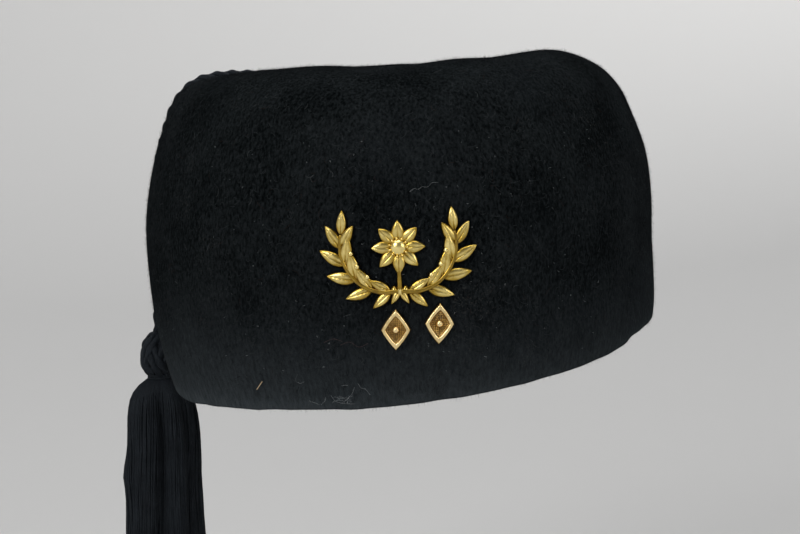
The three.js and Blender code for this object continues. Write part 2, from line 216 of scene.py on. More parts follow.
# Pale patches on the nap: smudges of dust, and at (43, -95, 50) painted light that lifts a stretch of
# the front turned from the lamps. Middle, spread in millimetres, strength.
DUST_AND_LIGHT_SMUDGES = [
    ((40, -80, 96), 10, 0.16),
    ((-2, -103, 80), 15, 0.10),
    ((-68, -58, 18), 11, 0.22),
    ((60, -76, 62), 9, 0.05),
    ((43, -95, 50), 13, 0.05),
    ((-55, -84, 19), 13, 0.04),
]
FELT_DEEP = (0.0016, 0.0021, 0.0024, 1)
FELT_RAISED = (0.0145, 0.0170, 0.0182, 1)
# The felt's paler rim colour: wear, and painted light reflected up from below.
FELT_WORN_AND_LIT = (0.055, 0.065, 0.072, 1)
FELT_DUST = (0.060, 0.060, 0.057, 1)
FELT_SHEEN = (0.72, 0.84, 0.88, 1)
FELT_SHEEN_WEIGHT, FELT_SHEEN_ROUGHNESS = 0.008, 0.5
FELT_ROUGHNESS = 0.95
# Cloudy noises in the felt: waves per metre, detail, roughness, and a stretch where the nap is brushed.
TUFTS = (1150, 4, 0.62, (1, 1, 0.55))
CLOUDS = (45, 4, 0.6)
STREAKS = (800, 3, 0.6, (1, 1, 0.14))
DUST_SPECKS, DUST_PATCHES = (1500, 2, 0.5), (26, 3, 0.6)
GRAIN = (2600, 2, 0.6)
TUFT_SHARE = 0.66
STREAK_LEAST = 0.1
NAP_STOPS = [(0.40, FELT_DEEP), (0.66, FELT_RAISED)]
DUST_STOPS = [(0.40, (0, 0, 0, 1)), (0.54, (0.4, 0.4, 0.4, 1))]
FELT_BUMP, FELT_BUMP_REACH = 0.6, 0.0004


def smooth_line(rows, along):
    """Points of a smooth line through rows, at shares of its run from 0 to 1."""
    rows = np.asarray(rows, float)
    last = len(rows) - 1
    run = np.clip(np.asarray(along, float), 0, 1) * last
    near = np.minimum(run.astype(int), last - 1)
    share = (run - near)[..., None]
    before, start = rows[np.maximum(near - 1, 0)], rows[near]
    end, after = rows[near + 1], rows[np.minimum(near + 2, last)]
    leave, arrive = (end - before) / 2, (after - start) / 2
    bend = (2 * start - 2 * end + leave + arrive) * share ** 3
    return bend + (3 * end - 3 * start - 2 * leave - arrive) * share ** 2 + leave * share + start


def unit(vectors):
    return vectors / np.maximum(np.linalg.norm(vectors, axis=-1, keepdims=True), 1e-12)


def dent_at(x, y, height):
    share = np.clip((height - DENTS_END_AT) / (DENTS_FULL_AT - DENTS_END_AT), 0, 1)
    fade = share * share * (3 - 2 * share)
    return fade * sum(
        rise * np.exp(-((x - at_x) / wide_x) ** 2 - ((y - at_y) / wide_y) ** 2)
        for at_x, at_y, wide_x, wide_y, rise in TOP_DENTS
    )


def crown_outside(angle, along):
    """The crown's outside in millimetres, at an angle round it and a place along its levels."""
    level = smooth_line(CROWN_LEVELS, along)
    height, share = level[..., 0], level[..., 1]
    x = HALF_WIDTH * share * np.cos(angle)
    y = HALF_DEPTH * share * np.sin(angle)
    bulge = sum(
        amount * np.clip(side * np.cos(angle), 0, 1) ** 4 * np.exp(-((height - at) / spread) ** 2)
        for side, at, spread, amount in WALL_BULGES
    )
    return np.stack([x + bulge, y, height + dent_at(x, y, height)], -1)


def crown_slopes(angle, along, step):
    """The small steps of the outside round the crown and up it."""
    round_it = crown_outside(angle + step, along) - crown_outside(angle - step, along)
    up_it = crown_outside(angle, along + step) - crown_outside(angle, along - step)
    return round_it, up_it


def crown_normal(angle, along):
    step = 1e-4
    round_it, up_it = crown_slopes(angle, np.minimum(along, 1 - 2 * step), step)
    return unit(np.cross(round_it, up_it))


wall_places = np.linspace(0, WALL_END, WALL_STEPS)
wall_heights = smooth_line(CROWN_LEVELS, wall_places)[:, 0]


def place_at_height(height):
    return np.interp(height, wall_heights, wall_places)


def rim_height(angle):
    side = np.cos(angle)
    waves = sum(size * np.sin(count * angle + shift) for count, shift, size in RIM_WAVES)
    degrees = np.degrees(np.angle(np.exp(1j * angle)))
    begun = 1 / (1 + np.exp(-(degrees - RIM_STEP_FROM) / RIM_STEP_SOFT))
    step = RIM_STEP * begun * np.clip((RIM_STEP_TO - degrees) / (RIM_STEP_TO - RIM_STEP_FROM), 0, 1)
    return RIM_SLOPE * side + RIM_BOW * side ** 2 + RIM_FLICK * side ** 3 + waves + step


def felt_points(angle, along, depth):
    """Points of the felt, some depth in millimetres under its outside."""
    base = crown_outside(angle, along)
    waves = sum(
        size * np.sin(count * angle + rise * base[..., 2] + shift)
        for count, rise, shift, size in FELT_WAVES
    )
    lift = waves * np.clip((1 - along) * FELT_WAVES_FADE, 0, 1)
    return base + crown_normal(angle, along) * (lift - depth)[..., None]


def make_crown(felt):
    angle = np.linspace(0, 2 * np.pi, CROWN_AROUND, endpoint=False)
    rim = place_at_height(rim_height(angle) + WALL_FOOT)

    def felt_rows(climb, depth):
        return felt_points(angle + 0 * climb, rim + (ROWS_END - rim) * climb, depth + 0 * climb * angle)

    inside = felt_rows(np.linspace(1, 0, INSIDE_ROWS)[:, None], FELT_THICKNESS)
    outside = felt_rows(np.linspace(0, 1, OUTSIDE_ROWS)[:, None], 0)
    foot, normal = outside[0], crown_normal(angle, rim)
    wall_up = unit(outside[1] - outside[0])
    edge = np.stack([foot - normal * inward - wall_up * drop for inward, drop in RIM_EDGE])
    rows = np.concatenate([inside, edge, outside])
    points = np.concatenate([rows.reshape(-1, 3), inside[:1].mean(1), outside[-1:].mean(1)])
    faces = ring_faces(len(rows), CROWN_AROUND)
    inside_middle, top_middle = len(points) - 2, len(points) - 1
    last = (len(rows) - 1) * CROWN_AROUND
    for place in range(CROWN_AROUND):
        beside = (place + 1) % CROWN_AROUND
        faces.append((inside_middle, beside, place))
        faces.append((top_middle, last + place, last + beside))
    crown = new_piece("felt_crown", points * MM, faces, felt)
    # The felt pales towards the rim: wear on the cut edge, and painted light reflected up onto the lower
    # wall; the smudges add dust and, in one, painted light.
    above_rim = np.clip(rows[..., 2] - rim_height(angle), 0, None).ravel()
    above_rim = np.concatenate([above_rim, [CLEAR_OF_WEAR_AND_LIGHT_AT, CLEAR_OF_WEAR_AND_LIGHT_AT]])
    side = np.concatenate([np.tile(np.cos(angle), len(rows)), [0, 0]])
    edge_worn = EDGE_WEAR * np.exp(-above_rim / EDGE_WEAR_REACH)
    wall_painted_light = WALL_PAINTED_LIGHT * np.exp(-(above_rim / WALL_PAINTED_LIGHT_REACH) ** 2)
    worn_and_lit = (1 - WEAR_AND_LIGHT_TO_ONE_SIDE * side) * (edge_worn + wall_painted_light)
    for middle, spread, strength in DUST_AND_LIGHT_SMUDGES:
        worn_and_lit = worn_and_lit + strength * np.exp(-(((points - middle) / spread) ** 2).sum(1))
    crown.data.attributes.new("wear_and_painted_light", "FLOAT", "POINT").data.foreach_set("value", worn_and_lit)
    return crown


def node(tree, kind, **settings):
    made = tree.nodes.new(kind)
    for name, value in settings.items():
        setattr(made, name, value)
    return made


def feed(tree, socket, value):
    """Gives a socket a link from another socket, or a constant."""
    if isinstance(value, bpy.types.NodeSocket):
        tree.links.new(value, socket)
    else:
        socket.default_value = value


def noise(tree, where, scale, detail, rough, stretch=(1, 1, 1)):
    """Cloudy noise in the object's own space, scale in waves per metre."""
    mapping = node(tree, "ShaderNodeMapping")
    mapping.inputs["Scale"].default_value = stretch
    cloud = node(tree, "ShaderNodeTexNoise")
    cloud.inputs["Scale"].default_value = scale
    cloud.inputs["Detail"].default_value = detail
    cloud.inputs["Roughness"].default_value = rough
    tree.links.new(where, mapping.inputs["Vector"])
    tree.links.new(mapping.outputs["Vector"], cloud.inputs["Vector"])
    return cloud.outputs["Fac"]


def ramp(tree, factor, stops):
    """A colour ramp over factor, from (place, colour) stops."""
    made = node(tree, "ShaderNodeValToRGB")
    band = made.color_ramp
    while len(band.elements) < len(stops):
        band.elements.new(0.5)
    for element, (place, tone) in zip(band.elements, stops):
        element.position = place
        element.color = tone
    tree.links.new(factor, made.inputs["Fac"])
    return made.outputs["Color"]


def mixed(tree, factor, first, second):
    """Two colours mixed by a factor. Sockets 6 and 7 take the colours, and socket 2 gives the result."""
    mix = node(tree, "ShaderNodeMix", data_type="RGBA")
    feed(tree, mix.inputs[0], factor)
    feed(tree, mix.inputs[6], first)
    feed(tree, mix.inputs[7], second)
    return mix.outputs[2]


def calculated(tree, operation, first, second):
    made = node(tree, "ShaderNodeMath", operation=operation)
    feed(tree, made.inputs[0], first)
    feed(tree, made.inputs[1], second)
    return made.outputs[0]


def blended(tree, first, share, second):
    """A share of the first value and the rest of the second."""
    first_part = calculated(tree, "MULTIPLY", first, share)
    second_part = calculated(tree, "MULTIPLY", second, 1 - share)
    return calculated(tree, "ADD", first_part, second_part)


def bumped(tree, shader, heights, strength, reach):
    """Bump on a shader from a height socket, reach in metres."""
    bump = node(tree, "ShaderNodeBump")
    bump.inputs["Strength"].default_value = strength
    bump.inputs["Distance"].default_value = reach
    tree.links.new(heights, bump.inputs["Height"])
    tree.links.new(bump.outputs["Normal"], shader.inputs["Normal"])


def felt_gloss(shader):
    """No mirror gloss, and the faint sheen that all the felt's fibres have."""
    shader.inputs["Specular IOR Level"].default_value = 0.0
    shader.inputs["Sheen Weight"].default_value = FELT_SHEEN_WEIGHT
    shader.inputs["Sheen Roughness"].default_value = FELT_SHEEN_ROUGHNESS
    shader.inputs["Sheen Tint"].default_value = FELT_SHEEN


def felt_material():
    """Black brushed felt: upright streaks in the nap, faint dust, and a paler rim, partly wear and
    partly painted light reflected up from below.
    """
    felt, shader = plain_material("black_felt", FELT_DEEP, FELT_ROUGHNESS)
    tree = felt.node_tree
    where = node(tree, "ShaderNodeTexCoord").outputs["Object"]
    tufts = noise(tree, where, *TUFTS)
    nap = ramp(tree, blended(tree, tufts, TUFT_SHARE, noise(tree, where, *CLOUDS)), NAP_STOPS)
    # Paler towards the rim and in patches: wear and dust, with painted light reflected up onto the lower
    # wall.
    wear_and_light = node(tree, "ShaderNodeAttribute", attribute_name="wear_and_painted_light").outputs["Fac"]
    streaks = calculated(tree, "ADD", noise(tree, where, *STREAKS), STREAK_LEAST)
    worn_and_lit = mixed(tree, calculated(tree, "MULTIPLY", wear_and_light, streaks), nap, FELT_WORN_AND_LIT)
    specks, patches = noise(tree, where, *DUST_SPECKS), noise(tree, where, *DUST_PATCHES)
    dusty = ramp(tree, calculated(tree, "MULTIPLY", specks, patches), DUST_STOPS)
    tree.links.new(mixed(tree, dusty, worn_and_lit, FELT_DUST), shader.inputs["Base Color"])
    felt_gloss(shader)
    grain = calculated(tree, "ADD", tufts, noise(tree, where, *GRAIN))
    bumped(tree, shader, grain, FELT_BUMP, FELT_BUMP_REACH)
    return felt


felt_crown = make_crown(felt_material())
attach(felt_crown, "root")
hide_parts("crown")

# Nap: the short loose fibres of the brushed felt, swirling mostly downwards and standing off the
# surface, with longer curled ones among them, which make the hat's edges soft.
NAP_SEED = 53
NAP_FIBRES = 150000
NAP_LENGTH, NAP_WIDTH = (0.4, 1.1), 0.065
# How far the short fibres start above the rim, how deep their roots sit, and how far up the nap goes.
NAP_ABOVE_RIM, NAP_ROOT, NAP_END = 0.3, 0.08, 0.995
# More short fibres along the cut edge: their number, and how far up they start in millimetres.
RIM_FUZZ, RIM_FUZZ_REACH = 7000, 0.4
# How much a short fibre stands off the felt for its lie along it: mean, spread, least and most.
NAP_STAND, NAP_STAND_SPREAD, NAP_STAND_LIMITS = 0.55, 0.4, (0.05, 1.6)
# Stray short fibres: share of all, lengths, and how much more they stand off.
STRAY_SHARE, STRAY_LENGTH, STRAY_STAND = 0.14, (0.7, 2.1), 0.5
# Swirls of the nap: waves per millimetre along x, y and z, shift, turn in radians.
NAP_SWIRLS = [
    ((0.21, 0.17, 0.13), 1.0, 0.8),
    ((-0.09, 0.23, 0.31), 2.0, 0.7),
    ((0.47, -0.33, 0.52), 0.5, 0.5),
]
NAP_RUFFLE, CURL_RUFFLE = 0.7, 1.2
# The nap is brushed straight at the rim: the height over it where the nap is free, in millimetres, and
# the least share of swirl and of curl at the rim itself.
NAP_FREE_AT, LEAST_SWIRL, LEAST_CURL = 25, 0.2, 0.25
# Longer curled fibres: number, lengths, width and its share at the tip, start above the rim, depth of
# the root, points of each, bend at each point in radians and the most of it, and rise off the felt.
CURL_FIBRES = 15000
CURL_LENGTH, CURL_WIDTH, CURL_TIP = (1.3, 3.4), 0.075, 0.3
CURL_ABOVE_RIM, CURL_ROOT = 4.0, -0.1
CURL_POINTS = 6
CURL_BEND, CURL_BEND_MOST = 0.6, 0.75
CURL_RISE = (0.02, 0.3)
NAP_ROUGHNESS = 0.9
# Places tried for each fibre, the step that areas are measured with, and the share of the tried
# places whose areas count in full.
NAP_TRIES, AREA_STEP, AREA_SHARE = 4, 1e-3, 0.995
# Tones of the fibres: name, colour, share of the short ones, share of the curled ones.
NAP_TONES = [
    ("nap_dark", (0.0025, 0.0029, 0.0032, 1), 0.43, 0.23),
    ("nap_middle", (0.0104, 0.0121, 0.0129, 1), 0.43, 0.43),
    ("nap_pale", (0.032, 0.036, 0.038, 1), 0.13, 0.30),
    ("nap_brown", (0.021, 0.0145, 0.013, 1), 0.007, 0.03),
    ("nap_bright", (0.070, 0.076, 0.078, 1), 0.003, 0.01),
]
SHORT_SHARES = [short for _, _, short, _ in NAP_TONES]
CURL_SHARES = [curled for _, _, _, curled in NAP_TONES]
# Fibres near the rim, pale there from wear and from painted light reflected up from below: their tone,
# the share of them that has it, and its reach in millimetres.
PALE_TONE, RIM_PALE_WEAR_AND_LIGHT, RIM_PALE_WEAR_AND_LIGHT_REACH = 2, 0.6, 10.0


def nap_material(name, tone):
    material, shader = plain_material(name, tone, NAP_ROUGHNESS)
    felt_gloss(shader)
    return material


def felt_places(draw, count, above_rim):
    """Places spread evenly over the outside: several are tried for each, and kept by their area."""
    trial = NAP_TRIES * count
    angle = draw.uniform(0, 2 * np.pi, trial)
    rim = place_at_height(rim_height(angle) + above_rim)
    along = rim + (NAP_END - rim) * draw.uniform(0, 1, trial)
    area = np.linalg.norm(np.cross(*crown_slopes(angle, along, AREA_STEP)), axis=1) * (NAP_END - rim)
    kept = np.flatnonzero(draw.uniform(0, 1, trial) < area / np.quantile(area, AREA_SHARE))[:count]
    return angle[kept], along[kept]


def freedom(place, angle, least):
    """How freely the nap lies: from a least share at the rim to all of it higher up."""
    return np.clip((place[:, 2] - rim_height(angle)) / NAP_FREE_AT, least, 1)


def nap_lie(draw, foot, normal, angle, ruffle):
    """The direction that the nap lies in at each foot: swirled and ruffled, straighter near the rim."""
    down = unit(np.array([0.0, 0.0, -1.0]) + normal * normal[:, 2:] + 1e-6)
    swirl = sum(turn * np.sin(foot @ np.array(waves) + shift) for waves, shift, turn in NAP_SWIRLS)
    swirl = freedom(foot, angle, LEAST_SWIRL) * (swirl + draw.normal(0, ruffle, len(foot)))
    return np.cos(swirl)[:, None] * down + np.sin(swirl)[:, None] * np.cross(normal, down)


def nap_tones(draw, foot, angle, shares):
    tones = draw.choice(len(NAP_TONES), len(foot), p=shares)
    # Near the rim more fibres take the pale tone: wear, and painted light reflected up from below.
    worn_and_lit = RIM_PALE_WEAR_AND_LIGHT * np.exp(-np.clip(foot[:, 2] - rim_height(angle), 0, None) / RIM_PALE_WEAR_AND_LIGHT_REACH)
    return np.where(draw.uniform(0, 1, len(foot)) < worn_and_lit, PALE_TONE, tones)


def fibre_piece(name, points, faces, normals, tones):
    piece = new_piece(name, points * MM, faces, nap_materials[0])
    for material in nap_materials[1:]:
        piece.data.materials.append(material)
    piece.data.polygons.foreach_set("material_index", tones.astype(np.int32))
    piece.data.normals_split_custom_set_from_vertices(normals.tolist())
    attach(piece, "root")


def make_short_nap(draw):
    angle, along = felt_places(draw, NAP_FIBRES, NAP_ABOVE_RIM)
    edge_angle = draw.uniform(0, 2 * np.pi, RIM_FUZZ)
    edge_along = place_at_height(rim_height(edge_angle) + draw.uniform(0, RIM_FUZZ_REACH, RIM_FUZZ))
    angle, along = np.concatenate([angle, edge_angle]), np.concatenate([along, edge_along])
    count = len(angle)
    foot = felt_points(angle, along, np.full(count, NAP_ROOT))
    normal = crown_normal(angle, along)
    stand = np.clip(draw.normal(NAP_STAND, NAP_STAND_SPREAD, (count, 1)), *NAP_STAND_LIMITS)
    stray = draw.uniform(0, 1, (count, 1)) < STRAY_SHARE
    stand = stand + STRAY_STAND * stray
    heading = unit(nap_lie(draw, foot, normal, angle, NAP_RUFFLE) + normal * stand)
    stray_length = draw.uniform(*STRAY_LENGTH, (count, 1))
    length = np.where(stray, stray_length, draw.uniform(*NAP_LENGTH, (count, 1)))
    aside = unit(np.cross(heading, normal)) * NAP_WIDTH / 2
    corners = np.stack([foot - aside, foot + aside, foot + heading * length], 1)
    faces = np.arange(3 * count).reshape(-1, 3).tolist()
    tones = nap_tones(draw, foot, angle, SHORT_SHARES)
    fibre_piece("felt_nap", corners.reshape(-1, 3), faces, np.repeat(normal, 3, axis=0), tones)


def make_curled_nap(draw):
    angle, along = felt_places(draw, CURL_FIBRES, CURL_ABOVE_RIM)
    count = len(angle)
    place = felt_points(angle, along, np.full(count, CURL_ROOT))
    normal = crown_normal(angle, along)
    heading = nap_lie(draw, place, normal, angle, CURL_RUFFLE)
    tones = nap_tones(draw, place, angle, CURL_SHARES)
    step = draw.uniform(*CURL_LENGTH, (count, 1)) / (CURL_POINTS - 1)
    bend = np.clip(draw.normal(0, CURL_BEND, (count, 1)), -CURL_BEND_MOST, CURL_BEND_MOST)
    bend = bend * freedom(place, angle, LEAST_CURL)[:, None]
    rise = draw.uniform(*CURL_RISE, (count, 1))
    rows = []
    for point in range(CURL_POINTS):
        width = CURL_WIDTH if point < CURL_POINTS - 1 else CURL_WIDTH * CURL_TIP
        aside = np.cross(heading, normal) * width / 2
        rows.append(np.stack([place - aside, place + aside], 1))
        place = place + unit(heading + normal * rise) * step
        heading = unit(np.cos(bend) * heading + np.sin(bend) * np.cross(normal, heading))
    points = np.stack(rows, 1).reshape(-1, 3)
    first = (np.arange(count) * 2 * CURL_POINTS)[:, None] + 2 * np.arange(CURL_POINTS - 1)
    faces = np.stack([first, first + 1, first + 3, first + 2], -1).reshape(-1, 4).tolist()
    normals = np.repeat(normal, 2 * CURL_POINTS, axis=0)
    fibre_piece("felt_curls", points, faces, normals, np.repeat(tones, CURL_POINTS - 1))


nap_materials = [nap_material(name, tone) for name, tone, _, _ in NAP_TONES]
nap_draw = np.random.default_rng(NAP_SEED)
make_short_nap(nap_draw)
make_curled_nap(nap_draw)

# Cord: three strands of black rayon twisted together, sewn under the button, laid across the top
# and hanging down the wearer's right side through the knot into the tassel's head.
# Its middle line from the button's edge to its end, then the end that is sewn under the button, in
# millimetres.
CORD_ROUTE = [
    (-7.4, 2.3, 101.4), (-17.8, 5.5, 102.1), (-27.9, 8.7, 102.9), (-38.3, 11.9, 103.3),
    (-46, 14.3, 103.7), (-51.5, 15.9, 104), (-56.3, 17.4, 104.2), (-61.1, 18.8, 104.2),
    (-65.4, 20.1, 103.8), (-69.3, 21.3, 103), (-72.9, 22.4, 101.5), (-75.9, 23.3, 99.2),
    (-78.4, 24, 96.4), (-80.5, 24.7, 93.2), (-82.6, 25.3, 88.4), (-84.4, 25.9, 83.1),
    (-86.4, 26.6, 77), (-88, 27, 70.3), (-89.1, 27.4, 63), (-89.8, 27.6, 55.4),
    (-90, 27.7, 44), (-90, 27.7, 30), (-90.2, 27.7, 18), (-90.6, 27.7, 9),
    (-90.8, 27.7, 0), (-90.8, 27.7, -15), (-90.8, 27.7, -31),
]
CORD_SEWN_END = (-4.4, 1.4, 101.2)
CORD_STEP, CORD_FINENESS = 0.5, 60
STRAND_COUNT, STRAND_SIDES = 3, 14
STRAND_RADIUS, STRAND_OUT = 1.3, 1.1
# The length of one turn of the strands, and where the first strand starts.
CORD_LAY, CORD_TWIST_START = 17.9, math.radians(60)
# The ridges of each strand's own plies: their number, depth, and turns for one turn of the strand.
PLY_COUNT, PLY_DEPTH, PLY_TURNS = 5, 0.1, 4
# On the top the cord sinks into the nap towards a point inside the crown, and less and less between
# the two heights down the side.
CORD_SINK, CORD_SINKS_TO = 0.55, np.array([-40.0, 12.0, 50.0])
CORD_HANGS_AT, CORD_LIES_AT = 30, 60
THREAD_DARK = (0.0060, 0.0076, 0.0096, 1)
THREAD_LIGHT = (0.0195, 0.0235, 0.0285, 1)
THREAD_STOPS = [(0.34, THREAD_DARK), (0.7, THREAD_LIGHT)]
THREAD_ROUGHNESS, THREAD_SPECULAR = 0.62, 0.06
THREAD_SHEEN, THREAD_SHEEN_ROUGHNESS = 0.015, 0.4
# Noises in the thread, as in the felt.
THREAD_FIBRES, THREAD_PATCHES = (2400, 3, 0.6, (1, 1, 0.35)), (130, 3, 0.6)
THREAD_FIBRE_SHARE = 0.6
THREAD_BUMP, THREAD_BUMP_REACH = 0.4, 0.0002


def even_line(rows, step):
    """The smooth line through rows as points an even step apart."""
    fine = smooth_line(rows, np.linspace(0, 1, CORD_FINENESS * len(rows)))
    run = np.concatenate([[0], np.cumsum(np.linalg.norm(np.diff(fine, axis=0), axis=1))])
    places = np.linspace(0, run[-1], int(round(run[-1] / step)) + 1)
    return np.stack([np.interp(places, run, fine[:, axis]) for axis in range(3)], -1), places


def line_sides(line, first_side):
    """Two sides of a line at each point, which turn with it as little as they can."""
    heading = unit(np.gradient(line, axis=0))
    side = np.empty_like(line)
    carried = np.asarray(first_side, float)
    for index, way in enumerate(heading):
        carried = unit(carried - way * carried.dot(way))
        side[index] = carried
    return side, np.cross(heading, side)


def closed_faces(rings, around):
    """The faces of a tube of rings with both its ends closed."""
    last = (rings - 1) * around
    return ring_faces(rings, around) + [tuple(range(around))[::-1], tuple(range(last, last + around))]


def tube_points(line, side, other, radius):
    """Rings of points round a line, from a row of radii for each ring."""
    turn = np.linspace(0, 2 * np.pi, radius.shape[1], endpoint=False)[None, :, None]
    outward = np.cos(turn) * side[:, None] + np.sin(turn) * other[:, None]
    return (line[:, None] + radius[..., None] * outward).reshape(-1, 3)


def tube(line, side, other, radius):
    return tube_points(line, side, other, radius), closed_faces(*radius.shape)


def loop(line, side, other, radius):
    """A tube whose last ring joins its first."""
    rings, around = radius.shape
    faces = np.array(ring_faces(rings + 1, around)) % (rings * around)
    return tube_points(line, side, other, radius), faces.tolist()


def gathered(shapes):
    """Several (points, faces) as one."""
    points, faces, start = [], [], 0
    for shape_points, shape_faces in shapes:
        points.append(shape_points)
        faces += [tuple(corner + start for corner in face) for face in shape_faces]
        start += len(shape_points)
    return np.concatenate(points), faces


def twisted_strand(line, run, side, other, start):
    """One strand wound round a line, with the ridges of its own plies."""
    turn = (2 * np.pi * run / CORD_LAY + start)[:, None]
    middle = line + STRAND_OUT * (np.cos(turn) * side + np.sin(turn) * other)
    heading = unit(np.gradient(middle, axis=0))
    near = unit(side - heading * (side * heading).sum(1, keepdims=True))
    round_it = np.linspace(0, 2 * np.pi, STRAND_SIDES, endpoint=False)
    ridges = 1 + PLY_DEPTH * np.cos(PLY_COUNT * round_it[None] - PLY_TURNS * turn)
    return tube(middle, near, np.cross(heading, near), STRAND_RADIUS * ridges)


def thread_material():
    """Black rayon thread: a little sheen, with the fine twist of its fibres."""
    thread, shader = plain_material("black_thread", THREAD_DARK, THREAD_ROUGHNESS)
    tree = thread.node_tree
    where = node(tree, "ShaderNodeTexCoord").outputs["Object"]
    fibres = noise(tree, where, *THREAD_FIBRES)
    tone = blended(tree, fibres, THREAD_FIBRE_SHARE, noise(tree, where, *THREAD_PATCHES))
    tree.links.new(ramp(tree, tone, THREAD_STOPS), shader.inputs["Base Color"])
    shader.inputs["Specular IOR Level"].default_value = THREAD_SPECULAR
    shader.inputs["Sheen Weight"].default_value = THREAD_SHEEN
    shader.inputs["Sheen Roughness"].default_value = THREAD_SHEEN_ROUGHNESS
    bumped(tree, shader, fibres, THREAD_BUMP, THREAD_BUMP_REACH)
    return thread


black_thread = thread_material()
cord_line, cord_run = even_line([CORD_SEWN_END] + CORD_ROUTE, CORD_STEP)
on_felt = np.clip((cord_line[:, 2:] - CORD_HANGS_AT) / (CORD_LIES_AT - CORD_HANGS_AT), 0, 1)
cord_line = cord_line + unit(CORD_SINKS_TO - cord_line) * CORD_SINK * on_felt
cord_side, cord_other = line_sides(cord_line, (0, 0, 1))
strand_starts = CORD_TWIST_START + 2 * np.pi * np.arange(STRAND_COUNT) / STRAND_COUNT
cord_points, cord_faces = gathered(
    twisted_strand(cord_line, cord_run, cord_side, cord_other, start) for start in strand_starts
)
twisted_cord = new_piece("twisted_cord", cord_points * MM, cord_faces, black_thread)
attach(twisted_cord, "root")
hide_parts("cord")

# Button: a small domed mould covered with thread worked from its middle, sewn to the top of the
# crown over the end of the cord.
BUTTON_BASE = 99.1
BUTTON_OUTLINE = [
    (4.2, 0.0), (5.6, 0.5), (6.3, 1.5), (6.5, 2.8), (5.9, 4.3), (4.6, 5.2), (2.8, 5.75), (1.2, 6.0),
    (0.15, 6.05),
]
BUTTON_ROWS, BUTTON_AROUND = 40, 240
# The covering threads: their number, how far they slant round, the size of their ridges outwards and
# its share upwards, and how far from the middle they are at their full size.
BUTTON_THREADS, BUTTON_SLANT = 30, 0.9
BUTTON_RIDGE, BUTTON_RIDGE_UP, BUTTON_RIDGE_FULL_AT = 0.28, 0.6, 4


def make_button():
    outline = smooth_line(BUTTON_OUTLINE, np.linspace(0, 1, BUTTON_ROWS))
    angle = np.linspace(0, 2 * np.pi, BUTTON_AROUND, endpoint=False)
    out, up = outline[:, :1], outline[:, 1:]
    slant = np.linspace(0, BUTTON_SLANT, BUTTON_ROWS)[:, None]
    ridge = np.abs(np.cos(BUTTON_THREADS / 2 * (angle + slant))) - 0.5
    swell = BUTTON_RIDGE * ridge * np.clip(out / BUTTON_RIDGE_FULL_AT, 0.05, 1)
    out, up = out + swell, up + BUTTON_RIDGE_UP * swell
    points = np.stack([out * np.cos(angle), out * np.sin(angle), up + BUTTON_BASE], -1).reshape(-1, 3)
    return new_piece("cord_button", points * MM, closed_faces(BUTTON_ROWS, BUTTON_AROUND), black_thread)


cord_button = make_button()
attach(cord_button, "root")
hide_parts("crown_button")

# Knot: a round mould hidden in a woven knot of doubled cord, which runs three times round it and
# grips the hanging cord just above the tassel.
HANGING_AT = np.array([-90.8, 27.7, 0.0])
KNOT_MIDDLE = np.array([0.0, 0.0, 1.5])
KNOT_TALL, KNOT_EGG = 1.2, 0.014
# The weave: times round, loops at each end, and how far up and down it reaches, then its distance from
# the middle and how far it dips and rises where it crosses itself.
KNOT_LEADS, KNOT_BIGHTS, KNOT_REACH = 3, 5, math.radians(62)
KNOT_OUT, KNOT_WEAVE = 6.0, 0.5
KNOT_STEPS = 600
# The two cords side by side: radius, distance from their middle line, and their plies.
KNOT_CORD, KNOT_PAIR = 1.3, 1.2
KNOT_PLIES, KNOT_PLY_DEPTH, KNOT_PLY_TURNS = 3, 0.1, 42
# The mould: radius, and the lowest and highest tilt of its outline in radians.
KNOT_MOULD, KNOT_MOULD_TILTS = 6.0, (-1.3, 1.16)
KNOT_MOULD_ROWS, KNOT_MOULD_AROUND = 24, 40


def turned_shape(outline, around):
    """A closed solid turned round the upright axis from its outline, lowest row first."""
    return turned_points(outline, around), closed_faces(len(outline), around)


def make_knot():
    run = np.linspace(0, 2 * np.pi, KNOT_STEPS, endpoint=False)
    angle, lift = KNOT_LEADS * run, KNOT_REACH * np.sin(KNOT_BIGHTS * run)
    out = KNOT_OUT + KNOT_WEAVE * np.sin(2 * KNOT_BIGHTS * run)
    radial = np.stack([np.cos(lift) * np.cos(angle), np.cos(lift) * np.sin(angle), np.sin(lift)], -1)
    middle = radial * out[:, None]
    heading = unit(np.roll(middle, -1, 0) - np.roll(middle, 1, 0))
    beside = unit(np.cross(heading, radial))
    round_it = np.linspace(0, 2 * np.pi, STRAND_SIDES, endpoint=False)
    shapes = []
    for way in (-1, 1):
        twist = KNOT_PLIES * round_it[None] - way * KNOT_PLY_TURNS * run[:, None]
        radius = KNOT_CORD * (1 + KNOT_PLY_DEPTH * np.cos(twist))
        shapes.append(loop(middle + way * KNOT_PAIR * beside, beside, np.cross(heading, beside), radius))
    tilt = np.linspace(*KNOT_MOULD_TILTS, KNOT_MOULD_ROWS)
    outline = KNOT_MOULD * np.stack([np.cos(tilt), np.sin(tilt)], -1)
    shapes.append(turned_shape(outline, KNOT_MOULD_AROUND))
    points, faces = gathered(shapes)
    points = points * (1, 1, KNOT_TALL)
    points[:, :2] *= 1 - KNOT_EGG * points[:, 2:]
    return new_piece("woven_knot", (points + HANGING_AT + KNOT_MIDDLE) * MM, faces, black_thread)


woven_knot = make_knot()
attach(woven_knot, "root")
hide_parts("tassel_knot")

# Tassel: black rayon threads doubled over the cord's end, bound at the neck and left to hang in
# loose locks, with a deep fold in front and an uneven cut hem.
TASSEL_SEED = 7
TASSEL_TOP = np.array([0.0, 0.0, -6.6])
TASSEL_LEAN, TASSEL_LEAN_FROM = math.tan(math.radians(3.2)), 25.0
